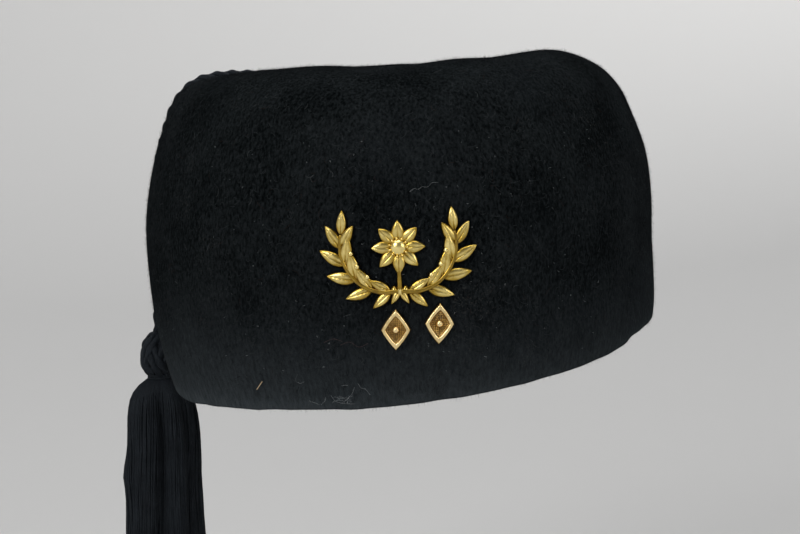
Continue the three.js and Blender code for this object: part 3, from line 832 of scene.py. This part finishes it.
# The tassel's outside, and the core under the threads: depth under its top, and distance from its axis.
TASSEL_OUTLINE = [
    (0.2, 4.0), (1.0, 4.6), (2.4, 6.8), (4.6, 9.4), (7.5, 11.4), (11.5, 12.7), (18, 13.5), (34, 14.0),
    (58, 14.2), (84, 14.6), (115, 15.2),
]
TASSEL_CORE = [(0.3, 3.0), (3, 4.6), (7, 6.2), (14, 7.0), (40, 7.2), (100, 7.4), (106, 6.0)]
OUTLINE_FINENESS = 400
CORE_ROWS, CORE_AROUND = 40, 48
# Folds between locks: direction in degrees, depth in millimetres, half width in degrees.
TASSEL_FOLDS = [
    (-92, 6.2, 15), (-140, 1.3, 9), (-118, 0.6, 7), (-42, 2.4, 10), (-64, 0.6, 7), (-14, 1.0, 8),
    (12, 2.4, 10), (48, 1.4, 9), (84, 2.6, 11), (122, 1.9, 10), (150, 0.8, 8), (212, 0.7, 7),
]
# How far down the folds start, how long they take to deepen, and how they wander: how far, in waves of
# what length, and the shift of each from the one before.
FOLDS_FROM, FOLDS_DEEPEN = 1.5, 14
FOLD_WANDER, FOLD_WANDER_LENGTH, FOLD_SHIFT = math.radians(6), 24, 1.9
# One lock stands out: direction and half width in degrees, depth, half height, amount in millimetres.
LOCK_WAY, LOCK_WIDE, LOCK_DOWN, LOCK_TALL, LOCK_OUT = 188, 22, 37, 6, 1.2
# The locks on the inner side spread out under the rim: depths where that starts and is full, and the
# amount.
SPILL_FROM, SPILL_FULL, SPILL = 40.0, 95.0, 3.2
THREADS = 640
THREAD_STEPS, THREAD_SIDES = 28, 4
THREAD_RADIUS, THREAD_START_RADIUS, THREAD_END_RADIUS = 0.42, 0.3, 0.36
THREAD_LENGTH, THREAD_LENGTH_SPREAD, THREAD_START = 111.5, 1.0, 0.4
# Steps along a thread are closer near its top, where it bends most.
THREAD_CROWDING = 1.35
# How far in from the tassel's outside the threads of each layer lie.
THREAD_LAYERS = np.array([0.42, 1.05, 1.75])
# Uneven spacing of the threads in radians, their sideways sway and in-and-out waves, each with its
# range of wave lengths, and how far they stray round and outwards towards the hem. Near the neck all
# but the spacing settles.
ANGLE_SPREAD = 0.02
SWAY, SWAY_LENGTHS = 0.022, (10, 17)
LOOSE, LOOSE_LENGTHS = 0.3, (7, 12)
HEM_DEPTH, HEM_STRAY, HEM_FLARE = 110, 0.035, 0.5
SETTLED_WITHIN, LEAST_SETTLED = 12, 0.15
ANY_PHASE = (0, 6.3)
# Turns of the thread that binds the neck: depth under the tassel's top, and distance from its axis.
NECK_BINDING = [(-1.2, 4.1), (-0.4, 4.5), (0.4, 4.7), (1.2, 4.8), (2.0, 5.2), (2.7, 5.9)]
NECK_THREAD_RADIUS = 0.5
NECK_STEPS, NECK_SIDES = 64, 8


def angle_off(angle, degrees):
    """The angle from a direction, the short way round."""
    return np.angle(np.exp(1j * (angle - math.radians(degrees))))


def tassel_out(down, angle):
    """How far the tassel's outside stands from its axis, with its folds and the lock that stands out."""
    fine = smooth_line(TASSEL_OUTLINE, np.linspace(0, 1, OUTLINE_FINENESS))
    out = np.interp(down, fine[:, 0], fine[:, 1])
    begun = np.clip((down - FOLDS_FROM) / FOLDS_DEEPEN, 0, 1)
    for number, (way, depth, wide) in enumerate(TASSEL_FOLDS):
        wander = FOLD_WANDER * np.sin(down / FOLD_WANDER_LENGTH + FOLD_SHIFT * number)
        off = angle_off(angle - wander, way) / math.radians(wide)
        out = out - depth * begun * np.exp(-off ** 2)
    off = angle_off(angle, LOCK_WAY) / math.radians(LOCK_WIDE)
    out = out + LOCK_OUT * np.exp(-off ** 2 - ((down - LOCK_DOWN) / LOCK_TALL) ** 2)
    spilt = np.clip((down - SPILL_FROM) / (SPILL_FULL - SPILL_FROM), 0, 1)
    return out + SPILL * spilt * np.clip(np.cos(angle), 0, 1) ** 2


def binding_turn(down, out):
    """One turn of the thread that binds the neck."""
    angle = np.linspace(0, 2 * np.pi, NECK_STEPS, endpoint=False)
    side = np.stack([np.cos(angle), np.sin(angle), 0 * angle], -1)
    upright = np.tile((0.0, 0.0, 1.0), (NECK_STEPS, 1))
    radius = np.full((NECK_STEPS, NECK_SIDES), NECK_THREAD_RADIUS)
    return loop(out * side - down * upright, side, upright, radius)


def make_tassel():
    draw = np.random.default_rng(TASSEL_SEED)
    each = (THREADS, 1)
    angle = np.linspace(0, 2 * np.pi, THREADS, endpoint=False) + draw.normal(0, ANGLE_SPREAD, THREADS)
    layer = THREAD_LAYERS[np.arange(THREADS) % len(THREAD_LAYERS)]
    length = THREAD_LENGTH + draw.normal(0, THREAD_LENGTH_SPREAD, THREADS)
    share = np.linspace(0, 1, THREAD_STEPS) ** THREAD_CROWDING
    down = THREAD_START + share[None] * length[:, None]
    sway = SWAY * np.sin(down / draw.uniform(*SWAY_LENGTHS, each) + draw.uniform(*ANY_PHASE, each))
    stray = draw.normal(0, HEM_STRAY, each) * (down / HEM_DEPTH) ** 2
    turn = angle[:, None] + (sway + stray) * np.clip(down / SETTLED_WITHIN, 0, 1)
    loose = LOOSE * np.sin(down / draw.uniform(*LOOSE_LENGTHS, each) + draw.uniform(*ANY_PHASE, each))
    settled = np.clip(down / SETTLED_WITHIN, LEAST_SETTLED, 1)
    out = tassel_out(down, turn) - layer[:, None] * settled + loose * settled
    out = out + np.abs(draw.normal(0, HEM_FLARE, each)) * (down / HEM_DEPTH) ** 4
    line = np.stack([out * np.cos(turn), out * np.sin(turn), -down], -1)
    heading = unit(np.gradient(line, axis=1))
    level = np.stack([-np.sin(turn), np.cos(turn), 0 * turn], -1)
    level = unit(level - heading * (level * heading).sum(-1, keepdims=True))
    inward = np.cross(heading, level)
    radius = np.full((THREAD_STEPS, THREAD_SIDES), THREAD_RADIUS)
    radius[0], radius[-1] = THREAD_START_RADIUS, THREAD_END_RADIUS
    shapes = [tube(line[one], level[one], inward[one], radius) for one in range(THREADS)]
    core = smooth_line(TASSEL_CORE, np.linspace(0, 1, CORE_ROWS))[::-1]
    shapes.append(turned_shape(np.stack([core[:, 1], -core[:, 0]], -1), CORE_AROUND))
    shapes += [binding_turn(depth, distance) for depth, distance in NECK_BINDING]
    points, faces = gathered(shapes)
    points[:, 0] -= np.clip(-points[:, 2] - TASSEL_LEAN_FROM, 0, None) * TASSEL_LEAN
    return new_piece("thread_tassel", (points + HANGING_AT + TASSEL_TOP) * MM, faces, black_thread)


thread_tassel = make_tassel()
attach(thread_tassel, "root")
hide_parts("tassel")

# Badge: a leaf spray stamped from gilt brass, two branches with berries tied under a rosette,
# pinned flat to the front of the crown and following its curve.
# Its middle across the front and up it, how far its back stands off the felt, and the height over its
# back that takes the full painted highlight of the gilding, in millimetres.
BADGE_X, BADGE_HEIGHT = -3.6, 46.6
PIN_GAP, BADGE_FACE = 0.3, 1.7
BRANCH_ROUTE = [(0.5, -10.6), (5.8, -10.8), (11.4, -8.6), (15.4, -4.2), (17.5, 1.4), (17.2, 7)]
ROSETTE_STEM_ROUTE = [(0, -10.6), (0, -6), (0, -1)]
# Stems: radius, its shares at the foot and the tip, and their place in the tones of the relief, between
# painted shade and painted highlight.
STEM_RADIUS, STEM_TAPER, STEM_RELIEF = 0.8, (1.1, 0.75), 0.55
STEM_STEPS, STEM_SIDES = 40, 12
# Pairs of leaves: place along the branch, length, angle away from the branch.
LEAF_PAIRS = [
    (0.1, 7.4, 36), (0.29, 8.6, 36), (0.48, 9.2, 35), (0.67, 9, 34), (0.85, 8.2, 32), (1, 7.6, 0),
]
LEAF_WIDTH_SHARE = 0.46
LEAF_ROWS, LEAF_COLUMNS = 30, 17
# A leaf's outline: how far its widest place lies to the foot, how blunt its ends are, how much it
# narrows to the tip, and its least half width.
LEAF_TO_FOOT, LEAF_BLUNT, LEAF_NARROWS, LEAF_LEAST = 0.85, 0.75, 0.12, 0.02
# Heights on a leaf in millimetres: its edge, its swelling, its rise to the tip, midrib and veins. The
# swelling is part of an arch from foot to tip, and the midrib fades out at the tip.
LEAF_EDGE, LEAF_SWELL, LEAF_TIP_RISE = 0.5, 0.95, 0.25
ARCH_START, ARCH_RUN = 0.06, 0.9
MIDRIB_DEPTH, MIDRIB_WIDTH, MIDRIB_END = 0.42, 0.13, 1.15
VEIN_DEPTH, VEIN_COUNT, VEIN_SLANT = 0.10, 6.5, 1.7
# A short step along a branch, which gives its direction.
BRANCH_STEP = 0.01
BERRIES_ALONG = (0.4, 0.59, 0.77)
BERRY_OUT, BERRY_RADIUS, BERRY_HIGH = 3.1, 1.05, 2.0
ROSETTE_UP, ROSETTE_PETALS = 2.8, 8
PETAL_LENGTH, PETAL_WIDTH, PETAL_FROM = 6.6, 4.3, 1.7
BOSS_RADIUS, BOSS_HIGH = 2.7, 2.3
BOSS_BEADS, BEAD_RADIUS, BEAD_HIGH = 11, 0.62, 2.0
# A rounded lump: its upright edge's share of its height, the share of the quarter turn that it is
# rounded over, and its points round and up, then those of a bead.
LUMP_EDGE, LUMP_END = 0.15, 0.985
LUMP_AROUND, LUMP_ROWS = 28, 12
BEAD_AROUND, BEAD_ROWS = 12, 6
# The tie: its height, the places of its three turns, their half width, half height and rise, the fall
# of the outer ones for each millimetre out, and the tails that hang from it.
TIE_UP, TIE_TURNS = -10.6, (-1.7, 0, 1.7)
TIE_WIDE, TIE_TALL, TIE_HIGH, TIE_FALL = 1.1154, 1.7, 1.7, 0.12
TIE_TAILS, TIE_TAIL_UP, TIE_TAIL_LENGTH = (-58, -122), -10.2, 5.2
# Gilt tones: painted shade for the hollows, the middle tone, and painted highlight for the high parts.
GILT_PAINTED_SHADE = (0.085, 0.034, 0.004, 1)
GILT_MIDDLE = (0.44, 0.285, 0.030, 1)
GILT_PAINTED_HIGHLIGHT = (0.98, 0.79, 0.30, 1)
GILT_GRAIN, GILT_GRAIN_REACH = 0.35, 0.0001
# Where in the relief the painted shade, the middle tone and the painted highlight lie, and how dull the
# hollows and high parts are.
GILT_PLACES = (0.32, 0.68, 1.0)
DULL_STOPS = [(0.1, (0.34, 0.34, 0.34, 1)), (0.9, (0.15, 0.15, 0.15, 1))]
GILT_ROUGHNESS = 0.34
GILT_COAT, GILT_COAT_ROUGHNESS = 0.4, 0.07
# Noises in the gilding, as in the felt, and how strongly the patches shift the tones.
GILT_PATCHES, GILT_FINE = (320, 3, 0.6), (3800, 2, 0.6)
GILT_PATCHINESS = 0.6


def front_point(x, height):
    """A point of the crown's front, in millimetres."""
    share = smooth_line(CROWN_LEVELS, place_at_height(np.asarray(height, float)))[..., 1]
    side = x / (HALF_WIDTH * share)
    return np.stack([x + 0 * share, -HALF_DEPTH * share * np.sqrt(1 - side ** 2), height + 0 * share], -1)


def front_axes(x, height):
    step = 0.05
    across = unit(front_point(x + step, height) - front_point(x - step, height))
    upward = unit(front_point(x, height + step) - front_point(x, height - step))
    outward = unit(np.cross(across, upward))
    return across, np.cross(outward, across), outward


def set_on_front(points, x, height, turn):
    """Points made flat, face to +Z, set on the front of the crown and turned by degrees."""
    across, upward, outward = front_axes(x, height)
    cosine, sine = math.cos(math.radians(turn)), math.sin(math.radians(turn))
    right = points[:, :1] * cosine - points[:, 1:2] * sine
    up = points[:, :1] * sine + points[:, 1:2] * cosine
    return front_point(x, height) + right * across + up * upward + (points[:, 2:] + PIN_GAP) * outward


def leaf_shape(length, width, veins):
    """A pillowed leaf along +X with a sunk midrib, and fine veins or none, closed below."""
    along = np.linspace(0, 1, LEAF_ROWS)[:, None]
    across = np.linspace(-1, 1, LEAF_COLUMNS)[None]
    outline = np.sin(np.pi * along ** LEAF_TO_FOOT) ** LEAF_BLUNT * (1 - LEAF_NARROWS * along) + LEAF_LEAST
    half = width / 2 * outline
    rounding = np.sqrt(np.clip(1 - across ** 2, 0, 1))
    swell = rounding * np.sqrt(np.sin(np.pi * (along * ARCH_RUN + ARCH_START)))
    midrib = np.exp(-(across / MIDRIB_WIDTH) ** 2) * np.clip(MIDRIB_END - along, 0, 1)
    face = LEAF_EDGE + LEAF_SWELL * swell - MIDRIB_DEPTH * midrib
    if veins:
        waves = np.cos(2 * np.pi * (VEIN_COUNT * along - VEIN_SLANT * np.abs(across)))
        face = face - VEIN_DEPTH * np.clip(waves, 0, 1) ** 4 * (1 - np.abs(across))
    top = np.stack([along * length + 0 * across, half * across, face + LEAF_TIP_RISE * along], -1)
    under = top * (1, 1, 0)
    points = np.concatenate([top.reshape(-1, 3), under.reshape(-1, 3)])
    place = np.arange(LEAF_ROWS * LEAF_COLUMNS).reshape(LEAF_ROWS, LEAF_COLUMNS)
    quads = np.stack([place[:-1, :-1], place[1:, :-1], place[1:, 1:], place[:-1, 1:]], -1).reshape(-1, 4)
    border = np.concatenate([place[0], place[1:, -1], place[-1, -2::-1], place[-2:0:-1, 0]])
    after = np.roll(border, -1)
    edge = np.stack([border, after, after + place.size, border + place.size], -1)
    return points, np.concatenate([quads, quads[:, ::-1] + place.size, edge]).tolist()


def lump_shape(half_x, half_y, high, around=LUMP_AROUND, rows=LUMP_ROWS):
    """A rounded lump on a low upright edge."""
    tilt = np.linspace(0, np.pi / 2 * LUMP_END, rows)
    outline = np.stack([np.cos(tilt), (1 - LUMP_EDGE) * np.sin(tilt) + LUMP_EDGE], -1)
    points, faces = turned_shape(np.concatenate([[(1, 0)], outline]), around)
    return points * (half_x, half_y, high), faces


def stem_shape(route):
    """A round tapering stem, in its place along the crown's front."""
    flat = smooth_line(route, np.linspace(0, 1, STEM_STEPS))
    x, height = BADGE_X + flat[:, 0], BADGE_HEIGHT + flat[:, 1]
    _, _, outward = front_axes(x, height)
    line = front_point(x, height) + outward * (PIN_GAP + STEM_RADIUS)
    heading = unit(np.gradient(line, axis=0))
    side = unit(outward - heading * (outward * heading).sum(1, keepdims=True))
    radius = STEM_RADIUS * np.linspace(*STEM_TAPER, STEM_STEPS)[:, None] * np.ones((1, STEM_SIDES))
    return tube(line, side, np.cross(heading, side), radius)


def badge_shapes():
    """Each piece of the badge as points in place, faces, and the height of each point in its relief."""
    made = []

    def add(shape, right, up, turn=0):
        points, faces = shape
        placed = set_on_front(points, BADGE_X + right, BADGE_HEIGHT + up, turn)
        made.append((placed, faces, np.clip(points[:, 2] / BADGE_FACE, 0, 1)))

    def add_stem(route):
        points, faces = stem_shape(route)
        made.append((points, faces, np.full(len(points), STEM_RELIEF)))

    def add_round(shape, count, distance, turned):
        for number in range(count):
            way = 2 * math.pi * number / count
            up = ROSETTE_UP + distance * math.sin(way)
            add(shape, distance * math.cos(way), up, math.degrees(way) if turned else 0)

    for side in (1, -1):
        route = [(side * right, up) for right, up in BRANCH_ROUTE]
        add_stem(route)
        for along, length, spread in LEAF_PAIRS:
            foot = smooth_line(route, along)
            ahead = smooth_line(route, along + BRANCH_STEP) - smooth_line(route, along - 2 * BRANCH_STEP)
            heading = math.degrees(math.atan2(ahead[1], ahead[0]))
            for turn in ((-spread, spread) if spread else (0,)):
                add(leaf_shape(length, length * LEAF_WIDTH_SHARE, True), foot[0], foot[1], heading + turn)
        for along in BERRIES_ALONG:
            foot = smooth_line(route, along)
            ahead = unit(smooth_line(route, along + BRANCH_STEP) - smooth_line(route, along - BRANCH_STEP))
            right, up = foot[0] - side * ahead[1] * BERRY_OUT, foot[1] + side * ahead[0] * BERRY_OUT
            add(lump_shape(BERRY_RADIUS, BERRY_RADIUS, BERRY_HIGH), right, up)
    add_stem(ROSETTE_STEM_ROUTE)
    for tail in TIE_TAILS:
        shape = leaf_shape(TIE_TAIL_LENGTH, TIE_TAIL_LENGTH * LEAF_WIDTH_SHARE, False)
        add(shape, 0, TIE_TAIL_UP, tail)
    for offset in TIE_TURNS:
        add(lump_shape(TIE_WIDE, TIE_TALL, TIE_HIGH - TIE_FALL * abs(offset)), offset, TIE_UP)
    add_round(leaf_shape(PETAL_LENGTH, PETAL_WIDTH, False), ROSETTE_PETALS, PETAL_FROM, True)
    add(lump_shape(BOSS_RADIUS, BOSS_RADIUS, BOSS_HIGH), 0, ROSETTE_UP)
    bead = lump_shape(BEAD_RADIUS, BEAD_RADIUS, BEAD_HIGH, BEAD_AROUND, BEAD_ROWS)
    add_round(bead, BOSS_BEADS, BOSS_RADIUS, False)
    return made


def gilt_material(name, tones, grain):
    """Satin gilding on stamped brass, with painted shade in the hollows and painted highlights on the
    high parts.
    """
    gilt, shader = plain_material(name, tones[1], GILT_ROUGHNESS, 1.0)
    tree = gilt.node_tree
    where = node(tree, "ShaderNodeTexCoord").outputs["Object"]
    relief = node(tree, "ShaderNodeAttribute", attribute_name="relief").outputs["Fac"]
    patches = noise(tree, where, *GILT_PATCHES)
    shift = calculated(tree, "MULTIPLY", calculated(tree, "SUBTRACT", patches, 0.5), GILT_PATCHINESS)
    height = calculated(tree, "ADD", relief, shift)
    # The relief picks the tone: painted shade low in the hollows, painted highlight on the high parts.
    tree.links.new(ramp(tree, height, list(zip(GILT_PLACES, tones))), shader.inputs["Base Color"])
    tree.links.new(ramp(tree, height, DULL_STOPS), shader.inputs["Roughness"])
    shader.inputs["Coat Weight"].default_value = GILT_COAT
    shader.inputs["Coat Roughness"].default_value = GILT_COAT_ROUGHNESS
    rough = calculated(tree, "ADD", noise(tree, where, *GILT_FINE), patches)
    bumped(tree, shader, rough, grain, GILT_GRAIN_REACH)
    return gilt


def relief_piece(name, shapes, material):
    points, faces = gathered((points, faces) for points, faces, _ in shapes)
    piece = new_piece(name, points * MM, faces, material)
    heights = np.concatenate([height for _, _, height in shapes])
    piece.data.attributes.new("relief", "FLOAT", "POINT").data.foreach_set("value", heights)
    return piece


gilt_brass = gilt_material("gilt_brass", (GILT_PAINTED_SHADE, GILT_MIDDLE, GILT_PAINTED_HIGHLIGHT), GILT_GRAIN)
leaf_badge = relief_piece("leaf_badge", badge_shapes(), gilt_brass)
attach(leaf_badge, "root")
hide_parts("badge")

# Studs: two small cast lozenges of a redder gilt, each with a rounded raised edge, a stippled
# field and a pearl, pinned side by side under the badge.
# Each stud: its name in the source, place across the front and up it, turn in degrees.
STUDS = [("stud_right", -5.3, 24, -2), ("stud_left", 8, 25.3, -4)]
STUD_HALF_WIDTH, STUD_HALF_HEIGHT = 4.7, 6.5
# A rounding of 1 would give sharp corners and straight sides, and 2 an oval.
STUD_ROUNDING = 1.16
STUD_ROWS, STUD_AROUND = 60, 160
# The stud's section from its middle to its edge: share of the way out, and height.
STUD_SECTION = [
    (0.0, 0.9), (0.2, 0.9), (0.4, 0.9), (0.56, 0.9), (0.62, 1.0), (0.67, 1.38), (0.74, 1.58),
    (0.82, 1.62), (0.9, 1.5), (0.96, 1.18), (1.0, 0.8), (1.0, 0.4), (1.0, 0.0),
]
# The innermost ring's share of the way out.
STUD_MIDDLE = 0.002
# The share of the way out where the stippling ends, and the share just inside it that it fades over.
FIELD_END, FIELD_FADE = 0.6, 0.06
STIPPLE_PITCH, STIPPLE_HIGH = 1.15, 0.3
PEARL_RADIUS, PEARL_HIGH = 1.3, 2.0
# The heights that take the painted shade and the painted highlight of the gilding.
STUD_HOLLOW, STUD_FACE = 0.05, 1.66
# Redder gilt tones: painted shade, middle tone, painted highlight.
RED_GILT_PAINTED_SHADE = (0.050, 0.020, 0.005, 1)
RED_GILT_MIDDLE = (0.52, 0.32, 0.085, 1)
RED_GILT_PAINTED_HIGHLIGHT = (0.95, 0.74, 0.37, 1)
RED_GILT_GRAIN = 0.5


def stud_shape():
    section = smooth_line(STUD_SECTION, np.linspace(0, 1, STUD_ROWS))[::-1]
    angle = np.linspace(0, 2 * np.pi, STUD_AROUND, endpoint=False)
    across = np.abs(np.cos(angle) / STUD_HALF_WIDTH) ** STUD_ROUNDING
    upward = np.abs(np.sin(angle) / STUD_HALF_HEIGHT) ** STUD_ROUNDING
    out = np.clip(section[:, :1], STUD_MIDDLE, 1) * (across + upward) ** (-1 / STUD_ROUNDING)
    x, y = out * np.cos(angle), out * np.sin(angle)
    field = np.clip((FIELD_END - section[:, :1]) / FIELD_FADE, 0, 1)
    stipple = np.sin(2 * np.pi * (x + y) / STIPPLE_PITCH) * np.sin(2 * np.pi * (x - y) / STIPPLE_PITCH)
    points = np.stack([x, y, section[:, 1:] + STIPPLE_HIGH * field * stipple], -1)
    return points.reshape(-1, 3), closed_faces(STUD_ROWS, STUD_AROUND)


red_gilt = gilt_material("red_gilt", (RED_GILT_PAINTED_SHADE, RED_GILT_MIDDLE, RED_GILT_PAINTED_HIGHLIGHT), RED_GILT_GRAIN)
for node_name, stud_x, stud_height, stud_turn in STUDS:
    stud_parts = []
    for points, faces in (stud_shape(), lump_shape(PEARL_RADIUS, PEARL_RADIUS, PEARL_HIGH)):
        placed = set_on_front(points, stud_x, stud_height, stud_turn)
        relief = np.clip((points[:, 2] - STUD_HOLLOW) / (STUD_FACE - STUD_HOLLOW), 0, 1)
        stud_parts.append((placed, faces, relief))
    lozenge = relief_piece("gilt_" + node_name, stud_parts, red_gilt)
    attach(lozenge, "root")
    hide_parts(node_name)

# Lint: a bit of straw, pale and brown hairs, a small tangle of fluff and scattered specks of dust
# that the felt has picked up in wear. All are placed across the front and up it, in millimetres.
LINT_SEED = 11
LINT_SIDES, LINT_STEPS = 5, 5
STRAW_TONE, STRAW_ROUGHNESS = (0.55, 0.40, 0.23, 1), 0.6
PALE_LINT_TONE, BROWN_LINT_TONE = (0.36, 0.38, 0.39, 1), (0.060, 0.024, 0.020, 1)
LINT_ROUGHNESS = 0.8
STRAW_ROUTE, STRAW_RADIUS, STRAW_LIFT = [(-49.6, 3.9), (-48.7, 5.2), (-47.7, 6.7)], 0.13, 0.6
PALE_HAIR_RADIUS, PALE_HAIR_LIFT = 0.018, 0.7
PALE_HAIR_ROUTES = [
    [(0.6, 65.9), (2.0, 66.9), (3.1, 66.5), (4.4, 67.3), (6.0, 67.2), (7.6, 68.4), (9.4, 68.3)],
    [(-20.6, 6.5), (-21.6, 6.6), (-22.6, 6.3)],
    [(-17.5, 7.1), (-16.6, 5.7), (-15.2, 5.2), (-13.9, 3.2)],
    [(-36.4, 7.3), (-35.4, 6.9), (-34.3, 7.4)],
    [(-32.9, 1.1), (-31.4, 0.6), (-29.8, 0.0)],
    [(-29.2, 0.0), (-28.1, 1.1), (-27.7, 2.4)],
    [(-21.0, 1.7), (-19.6, 3.6), (-18.6, 6.0)],
    [(-26.0, 3.2), (-24.6, 1.2), (-21.6, 0.5), (-18.8, 0.4)],
]
BROWN_HAIR_RADIUS, BROWN_HAIR_LIFT = 0.032, 0.6
BROWN_HAIR_ROUTES = [
    [(-27.4, 20.2), (-24.6, 21.4), (-21.8, 20.6)],
    [(-22.4, 19.4), (-19.6, 20.4), (-16.8, 18.8), (-14.0, 19.9)],
]
# Fluff: middle, spread, number of fibres, points of each, their curl in radians, step, flattening,
# radius and lift, and the corners of the patch that it stays in.
FLUFF_AT, FLUFF_SPREAD, FLUFF_FIBRES = (-21.9, 2.0), (0.65, 0.35), 14
FLUFF_POINTS, FLUFF_CURL, FLUFF_STEP, FLUFF_FLAT = 4, 0.45, (0.35, 0.85), 0.6
FLUFF_RADIUS, FLUFF_LIFT = (0.011, 0.021), (0.4, 0.9)
FLUFF_WITHIN = ((-60, 0.3), (60, 70))
# Specks: number, range across and up, half length, bend at the middle, radius and lift.
SPECKS, SPECKS_ACROSS, SPECKS_UP = 140, (-62, 62), (10, 86)
SPECK_REACH, SPECK_SKEW, SPECK_BEND = 0.13, 0.2, 0.08
SPECK_RADIUS, SPECK_LIFT = (0.012, 0.034), 0.55


def lint_fibre(route, radius, lift):
    flat = smooth_line(route, np.linspace(0, 1, LINT_STEPS * len(route)))
    _, _, outward = front_axes(flat[:, 0], flat[:, 1])
    line = front_point(flat[:, 0], flat[:, 1]) + outward * lift
    heading = unit(np.gradient(line, axis=0))
    side = unit(np.cross(heading, outward))
    return tube(line, side, np.cross(heading, side), np.full((len(line), LINT_SIDES), radius))


def fluff_fibre(draw):
    start = np.array(FLUFF_AT) + draw.normal(0, FLUFF_SPREAD)
    way = draw.uniform(0, 2 * np.pi) + draw.normal(0, FLUFF_CURL, FLUFF_POINTS).cumsum()
    steps = draw.uniform(*FLUFF_STEP) * np.stack([np.cos(way), FLUFF_FLAT * np.sin(way)], -1)
    route = np.clip(np.concatenate([[start], start + steps.cumsum(0)]), *FLUFF_WITHIN)
    return lint_fibre(route, draw.uniform(*FLUFF_RADIUS), draw.uniform(*FLUFF_LIFT))


def dust_speck(draw):
    at = np.array([draw.uniform(*SPECKS_ACROSS), draw.uniform(*SPECKS_UP)])
    reach = draw.normal(0, SPECK_REACH, 2)
    middle = at + reach * SPECK_SKEW + draw.normal(0, SPECK_BEND, 2)
    return lint_fibre([at - reach, middle, at + reach], draw.uniform(*SPECK_RADIUS), SPECK_LIFT)


def make_lint():
    draw = np.random.default_rng(LINT_SEED)
    straw = [lint_fibre(STRAW_ROUTE, STRAW_RADIUS, STRAW_LIFT)]
    brown = [lint_fibre(route, BROWN_HAIR_RADIUS, BROWN_HAIR_LIFT) for route in BROWN_HAIR_ROUTES]
    pale = [lint_fibre(route, PALE_HAIR_RADIUS, PALE_HAIR_LIFT) for route in PALE_HAIR_ROUTES]
    pale += [fluff_fibre(draw) for _ in range(FLUFF_FIBRES)]
    pale += [dust_speck(draw) for _ in range(SPECKS)]
    points, faces = gathered(straw + pale + brown)
    straw_material, _ = plain_material("straw", STRAW_TONE, STRAW_ROUGHNESS)
    lint = new_piece("lint", points * MM, faces, straw_material)
    for name, tone in (("pale_lint", PALE_LINT_TONE), ("brown_lint", BROWN_LINT_TONE)):
        material, _ = plain_material(name, tone, LINT_ROUGHNESS)
        lint.data.materials.append(material)
    counts = [sum(len(faces) for _, faces in kind) for kind in (straw, pale, brown)]
    lint.data.polygons.foreach_set("material_index", np.repeat(np.arange(3, dtype=np.int32), counts))
    return lint


lint = make_lint()
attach(lint, "root")
